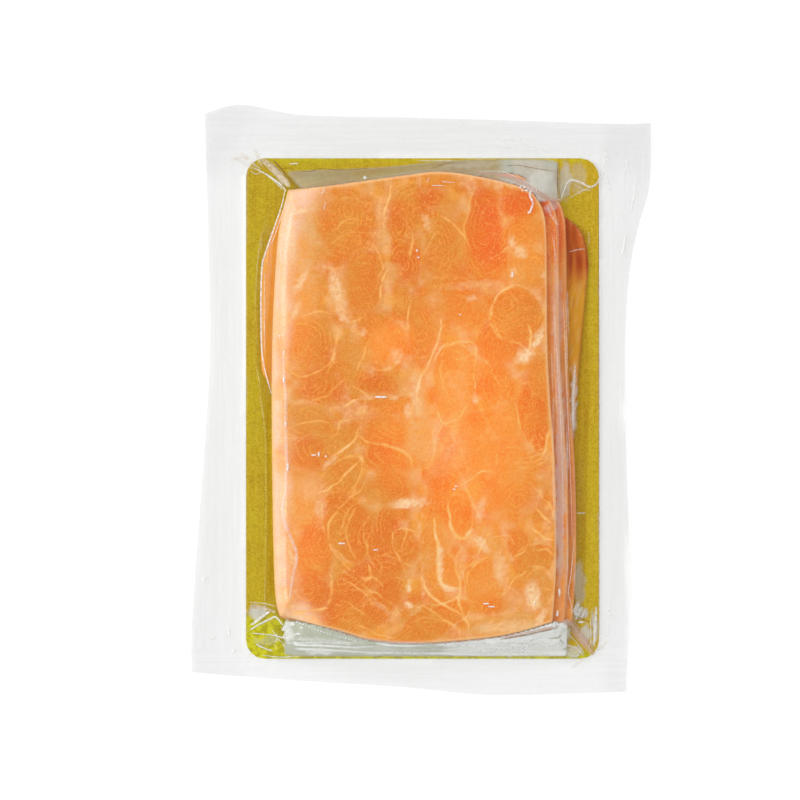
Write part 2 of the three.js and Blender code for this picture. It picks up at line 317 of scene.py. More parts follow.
# %% [markdown]
# ## Outlines
#
# Seen from above, each slice and the pouch is a closed line of four smooth sides: right side up,
# top leftwards, left side down and bottom rightwards. They are the same lines as in the solid model,
# so what is built here stays where the solids are. A curve object could hold such a line, but plain
# arrays also tell how far inside it a point lies, and every later step needs that.

# %% Smooth lines
CURVE_STEPS = 12


def smooth_line(points, steps=CURVE_STEPS):
    """A smooth curve through points, with that many steps from each point to the next."""
    points = np.asarray(points, float)
    padded = np.vstack([points[:1], points, points[-1:]])
    share = np.linspace(0, 1, steps, endpoint=False)[:, None]
    spans = []
    for first in range(len(points) - 1):
        before, start, end, after = padded[first:first + 4]
        leave, arrive = (end - before) / 2, (after - start) / 2
        cubic = (2 * start - 2 * end + leave + arrive) * share**3
        square = (3 * end - 3 * start - 2 * leave - arrive) * share**2
        spans.append(cubic + square + leave * share + start)
    return np.vstack([*spans, points[-1:]])


print("a smooth line through 5 points has", len(smooth_line(np.zeros((5, 2)))), "points")

# %% Closed outlines
HUB = np.array([0.0, -4.0])  # the place from which all outlines are measured


class Outline:
    """A closed line of four sides, that can say how far inside it a point is."""

    def __init__(self, *sides):
        self.sides = [smooth_line(side) for side in sides]
        self.points = np.vstack([side[:-1] for side in self.sides])
        away = self.points - HUB
        angle = np.arctan2(away[:, 1], away[:, 0])
        order = np.argsort(angle)
        self.angles = angle[order]
        self.reaches = np.hypot(*away.T)[order]

    def reach(self, x, y):
        """How far the line is from the hub, in the direction of a point."""
        angle = np.arctan2(y - HUB[1], x - HUB[0])
        return np.interp(angle, self.angles, self.reaches, period=2 * math.pi)

    def inset(self, x, y):
        """How far inside the line a point is, measured towards the hub."""
        return self.reach(x, y) - np.hypot(x - HUB[0], y - HUB[1])


def moved(side, by_x, by_y):
    return [(x + by_x, y + by_y) for x, y in side]


def stepped_outline(step, top):
    """A slice under the top one, which shows by a step on the right and at the top end."""
    right = moved(FOOD_RIGHT, step, 0)
    left = moved(FOOD_LEFT, 0, -1)
    bottom = moved(FOOD_BOTTOM[1:-1], 0, 0.8)
    return Outline(right, [right[-1], *top, left[0]], left, [left[-1], *bottom, right[0]])


# %% Outlines of the pouch and the slices, in millimetres
POUCH = Outline(
    [(98.5, -140.5), (100.5, -90), (98.8, -30), (98.1, 20), (99.8, 58), (104.6, 84), (110, 104),
     (110.4, 133.2)],
    [(110.4, 133.2), (92, 132.8), (46, 134.4), (-10, 136), (-58, 137.2), (-87, 142.1), (-104.3, 137.7)],
    [(-104.3, 137.7), (-102.6, 80), (-101.6, 30), (-103.6, -12.5), (-110.2, -104), (-110.4, -131.2)],
    [(-110.4, -131.2), (-62.4, -135), (-10.2, -138.2), (34.5, -142.1), (98.5, -140.5)],
)
FOOD_RIGHT = [(63, -107), (64.9, -77), (64.4, -34), (62, 0), (60.6, 29), (60.1, 77), (58.4, 91), (54, 99)]
FOOD_LEFT = [(-64, 101), (-67, 89), (-69.7, 70), (-71.9, 20), (-71.4, -58), (-70.2, -94), (-68, -104)]
FOOD_BOTTOM = [(-68, -104), (-39, -111.3), (-24, -115.6), (0, -117.1), (38, -113.6), (63, -107)]
FOOD_TOP = [(54, 99), (46, 103), (28, 107.3), (9, 109.7), (-10, 107.6), (-30, 104.9), (-44, 103),
            (-64, 101)]
TOP_SLICE = Outline(FOOD_RIGHT, FOOD_TOP, FOOD_LEFT, FOOD_BOTTOM)
MIDDLE_SLICE = stepped_outline(5.8, [(46, 108.4), (30, 107.6), (0, 106), (-40, 101.5)])
LOWER_SLICE = stepped_outline(9.6, [(50, 105.4), (28, 105.6), (0, 104.4), (-40, 100)])
BOTTOM_SLICE = Outline(
    [(71, -105), (72, -60), (73.6, -19.4), (75.6, 9.5), (79.4, 52.9), (80.3, 67.3), (77, 80.8),
     (68, 89)],
    [(68, 89), (40, 98), (0, 102), (-40, 99), (-64, 97)],
    [(-64, 97), (-72, 80), (-76.7, 62.5), (-77.2, 38.4), (-76.8, 14.4), (-71.4, 0), (-70.8, -60),
     (-68, -101)],
    [(-68, -101), (-39, -108), (0, -114), (38, -110.4), (71, -105)],
)
print("pouch outline", len(POUCH.points), "points, top slice", len(TOP_SLICE.points))

# %% [markdown]
# ## Heights
#
# The three upper slices are bent down over the left side of the stack, so each follows a round
# shoulder there. They could be bent with a modifier, but a formula for the height at each place
# keeps every slice clear of the next, and the film can be laid on the same formula later.

# %% Heights of the slices, in millimetres
SLICE = 3.1
LAYER = 3.4  # a slice and the gap under it
BOTTOM_TOP = 4.6  # top of the wide slice on the board
FOOT = 4.9  # where the three upper slices stand
SHOULDER = 9.9  # radius of the rounded left side
SHOULDER_WIDTH = 0.97 * SHOULDER  # how far inside the rim the bend starts
BENT_SIDE = (-66, -48)  # between these places the bend fades out along the rim
EDGE_DROP, EDGE_RUN = 0.8, 1.4  # rounding of a slice's upper edge


def smooth_step(value, low, high):
    """Goes smoothly from 0 to 1 while value goes from low to high."""
    share = np.clip((value - low) / (high - low), 0, 1)
    return share * share * (3 - 2 * share)


def mix(first, second, share):
    return first + (second - first) * share


def bumps(x, y):
    """Soft swellings of the flesh, from -1 to 1."""
    broad = 0.45 * np.sin(x / 14 + y / 31) + 0.35 * np.sin(y / 17 - x / 23)
    return broad + 0.2 * np.sin(x / 9 + 2)


def rim_share(outline, x, y):
    """How many times as far from the hub as a point the outline's rim is."""
    return outline.reach(x, y) / np.maximum(np.hypot(x - HUB[0], y - HUB[1]), 1e-6)


def drape(x, y, radius):
    """Height over the foot of a layer bent round the shoulder with that radius."""
    rim_x = HUB[0] + (x - HUB[0]) * rim_share(TOP_SLICE, x, y)
    bent = 1 - smooth_step(rim_x, *BENT_SIDE)
    across = np.maximum(0, SHOULDER_WIDTH - TOP_SLICE.inset(x, y))
    round_height = np.sqrt(np.maximum(0, radius**2 - across**2))
    return radius + (round_height - radius) * bent


def edge_fall(inset):
    """How much lower a slice's rounded edge is, that far inside the rim."""
    near = 1 - np.clip(inset / EDGE_RUN, 0, 1)
    return EDGE_DROP * (1 - np.sqrt(1 - near**2))


def layer_top(layer, swell):
    """The height of an upper slice's face, as a function of the place. Layer 0 is the top slice."""
    radius = SHOULDER - layer * LAYER
    return lambda x, y: FOOT + drape(x, y, radius) + swell * bumps(x, y)


SLICES = {
    "slice_top": (TOP_SLICE, layer_top(0, 0.35)),
    "slice_middle": (MIDDLE_SLICE, layer_top(1, 0.1)),
    "slice_lower": (LOWER_SLICE, layer_top(2, 0.1)),
    "slice_bottom": (BOTTOM_SLICE, lambda x, y: BOTTOM_TOP + 0 * x),
}
stack_height = float(SLICES["slice_top"][1](HUB[:1], HUB[1:])[0])
print(f"the stack is {stack_height:.1f} mm high in its middle, the shoulder {SHOULDER} mm round")

# %% [markdown]
# ## The front film's height
#
# Vacuum draws the film down like a tent: it lies on the slices, slopes straight from their rims down
# to the board, and past the board it lies on the back film and curls up a little towards the pouch's
# edge. Where it has too much length, at the board's corners, it stands up in folds. A cloth simulation
# could find this, but not with the folds where the photograph shows them. So the slopes are worked
# out on a grid and smoothed, which rounds them as a stretched film is round, and the folds are added.

# %% Slopes from the slices to the board
LEAST_RUN = 1.5  # shortest width of a slope
# The line where the front film meets the board, by the photograph's pixels.
LANDING = Outline(
    photo_line((567, 657), (572, 640), (583, 600), (586, 500), (589, 420), (593, 300), (591, 250),
               (580, 215)),
    photo_line((580, 215), (572, 196), (560, 178), (556, 161), (500, 160), (442, 163), (380, 169),
               (284, 172)),
    photo_line((284, 172), (272, 200), (259, 250), (257, 320), (262, 395), (268, 440), (268, 540),
               (266, 612)),
    photo_line((266, 612), (276, 640), (290, 656), (420, 656.5), (567, 657)),
)


def on_food(x, y):
    """Height of the slices, or of the board where there is none."""
    height = np.full(x.shape, BOARD_TOP)
    for outline, top_at in SLICES.values():
        inset = outline.inset(x, y)
        height = np.where(inset > 0, np.maximum(height, top_at(x, y) - edge_fall(inset)), height)
    return height


def tents(x, y):
    """Height of straight slopes from each slice's rim down to the landing line."""
    height = np.full(x.shape, BOARD_TOP)
    for outline, top_at in SLICES.values():
        past = -outline.inset(x, y)
        run = np.maximum(LANDING.reach(x, y) - outline.reach(x, y), LEAST_RUN)
        share = np.minimum(rim_share(outline, x, y), 1)
        rim_height = top_at(HUB[0] + (x - HUB[0]) * share, HUB[1] + (y - HUB[1]) * share)
        slope = rim_height + (BOARD_TOP - rim_height) * np.clip(past / run, 0, 1)
        height = np.maximum(height, slope)
    return height


print(f"the film lands {float(LANDING.reach(100.0, HUB[1])):.1f} mm right of the hub")

# %% The margin round the board
BOARD_CORNER = 9.0  # radius of the board's corners
MARGIN_START = 1.5  # how far past the board the margin starts to curl
CURL, CURL_WAVE = 1.3, 0.8  # mean height of the curled edge, and how much it waves


def board_inset(x, y, corner=BOARD_CORNER):
    """How far inside the board's rounded outline a point is."""
    half_x = (board_high - board_low)[0] / 2 - corner
    half_y = (board_high - board_low)[1] / 2 - corner
    over_x = np.abs(x - BOARD_MIDDLE[0]) - half_x
    over_y = np.abs(y - BOARD_MIDDLE[1]) - half_y
    outside = np.hypot(np.maximum(over_x, 0), np.maximum(over_y, 0))
    return corner - outside - np.minimum(np.maximum(over_x, over_y), 0)


def margin_lift(x, y):
    """The free margin curls up in waves towards the pouch's edge."""
    inset = np.maximum(POUCH.inset(x, y), 0)
    width = inset + np.maximum(-board_inset(x, y), 0)
    across = np.clip(1 - inset / np.maximum(width, 1e-3), 0, 1)
    angle = np.arctan2(y - HUB[1], x - HUB[0])
    wave = 0.6 * np.sin(7 * angle + 0.6) + 0.4 * np.sin(12 * angle + 2)
    return across**2 * (CURL + CURL_WAVE * wave)


edge_x, edge_y = POUCH.points.T
lifts = margin_lift(edge_x, edge_y)
print(f"the margin's edge curls up by {lifts.min():.1f} to {lifts.max():.1f} mm")


# %% Folds at the board's corners
def distance_to_line(x, y, line):
    """Distance from each point to a line of straight pieces, and the share of its length there."""
    best = np.full(x.shape, 1e9)
    share = np.zeros(x.shape)
    lengths = np.hypot(*np.diff(line, axis=0).T)
    reached = np.concatenate([[0], np.cumsum(lengths)])
    for index, (start, end) in enumerate(zip(line[:-1], line[1:])):
        along = end - start
        part = ((x - start[0]) * along[0] + (y - start[1]) * along[1]) / max(along @ along, 1e-9)
        part = np.clip(part, 0, 1)
        distance = np.hypot(x - start[0] - part * along[0], y - start[1] - part * along[1])
        nearer = distance < best
        best = np.where(nearer, distance, best)
        share = np.where(nearer, (reached[index] + part * lengths[index]) / reached[-1], share)
    return best, share


# Where each fold's crest runs, in pixels, and its half width and height in millimetres.
FOLDS = {
    "top left": (photo_line((289, 188), (274, 171), (258, 160), (240, 149)), 2.4, 1.9),
    "top right": (photo_line((557, 197), (569, 183), (590, 186), (603, 165)), 2.0, 1.3),
    "bottom left": (photo_line((277, 613), (262, 621), (246, 633)), 2.2, 1.6),
    "bottom right": (photo_line((562, 618), (575, 634), (592, 655), (601, 664)), 2.8, 1.8),
}
print("folds:", ", ".join(FOLDS))

# %% A map of the front film's height
STEP = 0.5  # spacing of the map's points
MAP_X, MAP_Y = 113, 145  # how far the map reaches each way
BOARD_EDGE = -0.2  # the film drops off the board this far outside its outline
ON_TABLE = 0.3  # the film's height in the margin
SMOOTHING_PASSES = 10
FILM_GAP = 0.35  # the front film's height over what it lies on

map_x = np.arange(-MAP_X, MAP_X + 0.1, STEP)
map_y = np.arange(-MAP_Y, MAP_Y + 0.1, STEP)
grid_x, grid_y = np.meshgrid(map_x, map_y)
inside_board = board_inset(grid_x, grid_y)
height_map = np.where(inside_board > BOARD_EDGE, tents(grid_x, grid_y), ON_TABLE)
resting = np.where(inside_board > BOARD_EDGE, on_food(grid_x, grid_y), 0.0)
for _ in range(SMOOTHING_PASSES):
    middle = height_map[1:-1, 1:-1]
    around = height_map[:-2, 1:-1] + height_map[2:, 1:-1] + height_map[1:-1, :-2] + height_map[1:-1, 2:]
    height_map[1:-1, 1:-1] = np.maximum(resting[1:-1, 1:-1], 0.5 * middle + 0.125 * around)
height_map += FILM_GAP
height_map += np.where(inside_board < -MARGIN_START, margin_lift(grid_x, grid_y), 0)
for line, half_width, fold_height in FOLDS.values():
    distance, share = distance_to_line(grid_x, grid_y, smooth_line(line, 4))
    crest = np.clip(1 - distance / half_width, 0, 1)
    height_map += fold_height * crest * np.sin(np.pi * np.clip(share, 0, 1)) ** 0.7
print(f"film height from {height_map.min():.2f} to {height_map.max():.2f} mm")


def film_height(x, y):
    """Height of the front film at any point, read from the map."""
    column = np.clip((np.asarray(x, float) - map_x[0]) / STEP, 0, len(map_x) - 1.001)
    row = np.clip((np.asarray(y, float) - map_y[0]) / STEP, 0, len(map_y) - 1.001)
    left, low = column.astype(int), row.astype(int)
    right_share, high_share = column - left, row - low
    lower = height_map[low, left] * (1 - right_share) + height_map[low, left + 1] * right_share
    upper = height_map[low + 1, left] * (1 - right_share) + height_map[low + 1, left + 1] * right_share
    return lower * (1 - high_share) + upper * high_share


# %% [markdown]
# ## Meshes
#
# A slice and a film are both wide sheets with four sides. They could be cut from a flat grid, but that
# leaves ragged rims. Here the points are laid out by blending the four sides into each other, so that
# the lines of the mesh run along the rims, and are set closer where the surface bends. Values that a
# finish needs later are stored on the points.

# %% Laying out a sheet's points
SHEET_WIDTH, SHEET_LENGTH = 132, 212  # a slice's rough size, which the spacing is counted in
POUCH_WIDTH, POUCH_LENGTH = 212, 275  # and the pouch's


def at_shares(line, shares):
    """Points at shares of a line's length."""
    lengths = np.hypot(*np.diff(line, axis=0).T)
    reached = np.concatenate([[0], np.cumsum(lengths)]) / lengths.sum()
    return np.stack([np.interp(shares, reached, line[:, axis]) for axis in (0, 1)], axis=-1)


def sheet_points(outline, across, along):
    """Points of a sheet inside a four-sided outline, as rows from bottom to top."""
    right, top, left, bottom = outline.sides
    low, high = at_shares(bottom, across), at_shares(top[::-1], across)
    west, east = at_shares(left[::-1], along), at_shares(right, along)
    u, v = across[None, :, None], along[:, None, None]
    edges = (1 - v) * low[None] + v * high[None] + (1 - u) * west[:, None] + u * east[:, None]
    low_corners = (1 - u) * bottom[0] + u * bottom[-1]
    high_corners = (1 - u) * left[0] + u * right[-1]
    return edges - ((1 - v) * low_corners + v * high_corners)


def shares_of(length, fine_zones, fine, coarse):
    """Shares of a length from 0 to 1, finely spaced within the zones. All is in millimetres."""
    places = [0.0]
    while places[-1] < length:
        in_zone = any(start <= places[-1] < end for start, end in fine_zones)
        places.append(places[-1] + (fine if in_zone else coarse))
    return np.array(places) / places[-1]


print("a coarse sheet has", len(shares_of(SHEET_WIDTH, [], 1, 4.0)), "points from side to side")


# %% Faces and pieces
def sheet_faces(rows, columns):
    """Four-sided faces between the points of a sheet."""
    index = np.arange(rows * columns).reshape(rows, columns)
    corners = index[:-1, :-1], index[:-1, 1:], index[1:, 1:], index[1:, :-1]
    return np.stack(corners, axis=-1).reshape(-1, 4)


def ring_faces(outer, inner):
    """Faces between two closed rings of as many points. Seen from outside, outer runs leftwards."""
    return np.stack([outer, np.roll(outer, -1), np.roll(inner, -1), inner], axis=-1)


def new_piece(name, points, faces, material, values=None):
    """A smooth mesh piece from drawing millimetres, with values stored on its points."""
    mesh = bpy.data.meshes.new(name)
    mesh.from_pydata(in_frame(points).tolist(), [], [face.tolist() for face in faces])
    mesh.shade_smooth()
    for value_name, numbers in (values or {}).items():
        attribute = mesh.attributes.new(value_name, "FLOAT", "POINT")
        attribute.data.foreach_set("value", np.asarray(numbers, np.float32).ravel())
    mesh.materials.append(material)
    piece = bpy.data.objects.new(name, mesh)
    scene.collection.objects.link(piece)
    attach(piece, "root")
    print(f"{name}: {len(mesh.vertices)} points, {len(mesh.polygons)} faces")
    return piece


print("a sheet of 3 by 4 points has", len(sheet_faces(3, 4)), "faces")

# %% [markdown]
# ## The flesh
#
# Salmon flesh is built of flakes: muscle in thin layers, cut across here, so that each shows as an
# oval with fine curved lines inside and a pale seam of fat along a part of its rim. A cell texture
# gives ovals too, but all alike and in the wrong places. So the flakes are laid over each other one by
# one, like scales, as ovals whose rim is bent by noise. Where no flake lies, and along some seams, the
# fat is a soft pale patch. Along the rounded left side a pale band and a few strokes are painted
# highlight, where the shoulder catches the light. The mesh is fine enough to carry all this as painted
# values, one point for about each pixel of the photograph.

# %% Flakes
# From the first laid to the last. Each is the pixel of the middle, half width and half length in
# pixels, turn in degrees, depth of colour from 0, pale, to 1, deep red, strength of its seam, and the
# side on which the seam is strongest, in degrees from the right.
FLAKES = [
    (446, 250, 26, 52, 2, 0.49, 0.10, 90), (347, 228, 32, 40, 4, 0.52, 0.20, 90),
    (300, 240, 22, 44, 4, 0.05, 0.10, 0), (312, 200, 18, 14, 0, 0.34, 0.10, 300),
    (414, 210, 27, 26, 0, 0.52, 0.15, 250), (432, 197, 16, 13, 0, 0.70, 0.0, 0),
    (397, 228, 9, 24, 0, 0.71, 0.10, 180), (407, 260, 18, 26, 8, 0.74, 0.12, 200),
    (364, 284, 21, 40, 4, 0.58, 0.25, 180), (485, 262, 24, 24, -10, 0.60, 0.30, 270),
    (486, 246, 22, 26, -10, 0.66, 0.25, 280), (484, 224, 19, 37, 0, 0.84, 0.35, 180),
    (518, 204, 20, 17, -10, 0.90, 0.25, 180), (524, 232, 22, 20, 20, 0.47, 0.20, 200),
    (528, 268, 22, 22, 0, 0.33, 0.25, 90), (303, 290, 18, 30, 8, 0.15, 0.15, 0),
    (311, 342, 26, 34, 6, 0.50, 0.25, 30), (352, 362, 14, 30, 0, 0.37, 0.20, 0),
    (386, 345, 25, 24, 0, 0.38, 0.25, 90), (377, 324, 20, 16, 0, 0.45, 0.15, 90),
    (322, 386, 26, 22, 30, 0.62, 0.20, 100), (420, 326, 18, 40, 4, 0.49, 0.12, 200),
    (379, 384, 22, 13, -4, 0.72, 0.10, 90), (390, 404, 24, 10, 0, 0.46, 0.30, 270),
    (462, 300, 24, 34, 0, 0.50, 0.15, 290), (497, 340, 20, 34, -12, 0.60, 0.20, 200),
    (516, 315, 27, 27, 0, 0.45, 0.75, 150), (496, 384, 20, 28, 10, 0.48, 0.20, 0),
    (456, 372, 23, 28, 8, 0.36, 0.55, 100), (456, 392, 18, 20, 10, 0.28, 0.30, 90),
    (540, 390, 16, 40, 0, 0.45, 0.20, 180), (311, 424, 26, 20, -12, 0.47, 0.25, 90),
    (311, 454, 25, 17, 10, 0.66, 0.25, 80), (340, 446, 16, 24, -20, 0.45, 0.25, 0),
    (385, 432, 28, 24, 0, 0.47, 0.20, 90), (389, 458, 28, 17, 0, 0.54, 0.20, 270),
    (422, 432, 19, 36, 0, 0.15, 0.15, 180), (452, 411, 20, 14, 0, 0.26, 0.35, 270),
    (478, 420, 16, 12, 0, 0.45, 0.25, 60), (478, 452, 24, 32, 0, 0.33, 0.25, 150),
    (508, 424, 20, 26, 0, 0.35, 0.20, 200), (538, 424, 10, 30, 0, 0.72, 0.40, 180),
    (526, 412, 8, 30, 0, 0.58, 0.70, 200), (520, 462, 28, 18, 0, 0.39, 0.20, 90),
    (392, 487, 25, 15, 0, 0.56, 0.20, 90), (341, 478, 15, 28, -52, 0.46, 0.55, 40),
    (300, 500, 20, 34, 6, 0.20, 0.15, 0), (443, 497, 16, 34, -6, 0.50, 0.20, 180),
    (511, 492, 27, 26, 0, 0.46, 0.20, 240), (461, 512, 13, 25, -4, 0.48, 0.80, 250),
    (348, 526, 22, 40, 20, 0.53, 0.70, 200), (364, 530, 17, 30, 10, 0.62, 0.20, 180),
    (384, 537, 15, 36, -14, 0.68, 0.30, 200), (404, 549, 16, 18, 0, 0.58, 0.25, 0),
    (315, 552, 20, 32, 0, 0.55, 0.30, 0), (313, 592, 24, 22, 0, 0.70, 0.15, 90),
    (390, 577, 19, 25, -20, 0.62, 0.20, 240), (352, 584, 14, 38, -52, 0.66, 0.3, 40),
    (383, 599, 14, 30, -50, 0.70, 0.30, 60), (344, 607, 12, 30, -58, 0.68, 0.25, 50),
    (362, 620, 14, 36, -64, 0.57, 0.35, 60), (436, 552, 13, 44, 0, 0.31, 0.35, 180),
    (451, 575, 10, 17, 0, 0.34, 0.45, 0), (490, 545, 12, 22, 30, 0.19, 0.20, 0),
    (484, 584, 21, 27, 0, 0.32, 0.55, 160), (518, 544, 12, 14, 0, 0.56, 0.50, 330),
    (534, 560, 20, 18, 0, 0.52, 0.45, 90), (538, 588, 14, 20, 0, 0.31, 0.35, 90),
    (437, 618, 15, 38, -66, 0.54, 0.65, 50), (420, 632, 12, 30, -72, 0.49, 0.35, 60),
    (508, 624, 12, 40, -84, 0.10, 0.30, 90), (484, 602, 24, 12, 0, 0.48, 0.0, 0),
]
print(len(FLAKES), "flakes")

# %% Soft fat, painted highlight strokes and bright places
# Patches of fat, and along the left shoulder some painted highlight strokes: pixel of the middle,
# half width, half length, turn and strength.
FAT_AND_HIGHLIGHT_PATCHES = [
    (336, 288, 8, 24, 12, 0.75), (342, 316, 5, 14, 36, 0.6), (416, 392, 8, 26, 6, 0.55),
    (524, 356, 12, 8, 30, 1.0), (537, 340, 5, 16, -28, 0.9), (520, 252, 9, 6, -40, 0.7),
    (512, 242, 4, 8, 20, 0.6), (409, 503, 22, 6, 6, 0.95), (480, 510, 6, 15, -14, 0.55),
    (533, 596, 9, 18, 4, 0.95), (540, 618, 5, 16, -30, 0.7), (500, 568, 8, 20, 4, 0.55),
    (440, 560, 4, 20, 2, 0.8), (448, 588, 12, 4, -24, 0.7), (481, 543, 5, 16, 40, 0.75),
    (426, 222, 4, 12, 24, 0.45), (498, 186, 6, 8, 10, 0.5), (475, 399, 3, 7, 0, 0.7),
    (512, 274, 3, 6, 0, 0.6), (472, 299, 6, 4, 20, 0.5), (436, 436, 7, 24, -8, 0.4),
    (505, 626, 36, 7, 6, 0.5), (330, 462, 4, 12, -50, 0.5), (545, 275, 5, 5, 0, 0.5),
    (384, 608, 24, 3, -34, 0.3), (300, 212, 8, 3, 0, 0.9), (301, 282, 4, 16, -30, 0.7),
    (291, 240, 6, 26, 4, 0.5), (284, 300, 4, 40, 4, 0.5), (296, 312, 3, 14, -24, 0.6),
    (292, 196, 6, 8, 0, 0.6), (283, 500, 4, 30, 4, 0.6), (292, 555, 4, 14, 20, 0.6),
    (286, 596, 5, 8, 0, 0.6), (300, 606, 10, 5, 10, 0.5), (340, 300, 9, 22, 10, 0.5),
    (320, 508, 8, 12, 0, 0.5), (409, 586, 3, 7, -20, 0.9), (409, 605, 5, 4, 0, 0.9),
    (397, 357, 8, 9, 0, 0.5), (408, 411, 5, 9, 0, 0.6), (393, 398, 6, 3, -20, 0.5),
    (478, 285, 40, 5, 4, 0.3), (278, 551, 3, 4, 0, 0.7), (282, 569, 6, 2, 10, 0.8),
    (285, 594, 5, 3, 0, 0.8), (363, 333, 4, 6, 0, 0.5), (445, 446, 28, 34, 0, 0.2),
    (314, 489, 18, 16, 0, 0.28), (294, 584, 10, 24, 0, 0.34), (290, 438, 9, 28, 0, 0.2),
]
# Broad places where the flesh is brighter, in the same order.
GLOWS = [
    (470, 430, 80, 170, 0, 1.0), (392, 345, 34, 30, 0, 0.9), (505, 250, 50, 70, 0, 0.55),
    (300, 530, 34, 80, 0, 0.65), (295, 300, 26, 100, 0, 0.6), (410, 440, 50, 60, 0, 0.7),
    (470, 570, 60, 60, 0, 0.6),
]
print(len(FAT_AND_HIGHLIGHT_PATCHES), "patches of fat,", len(GLOWS), "bright places")

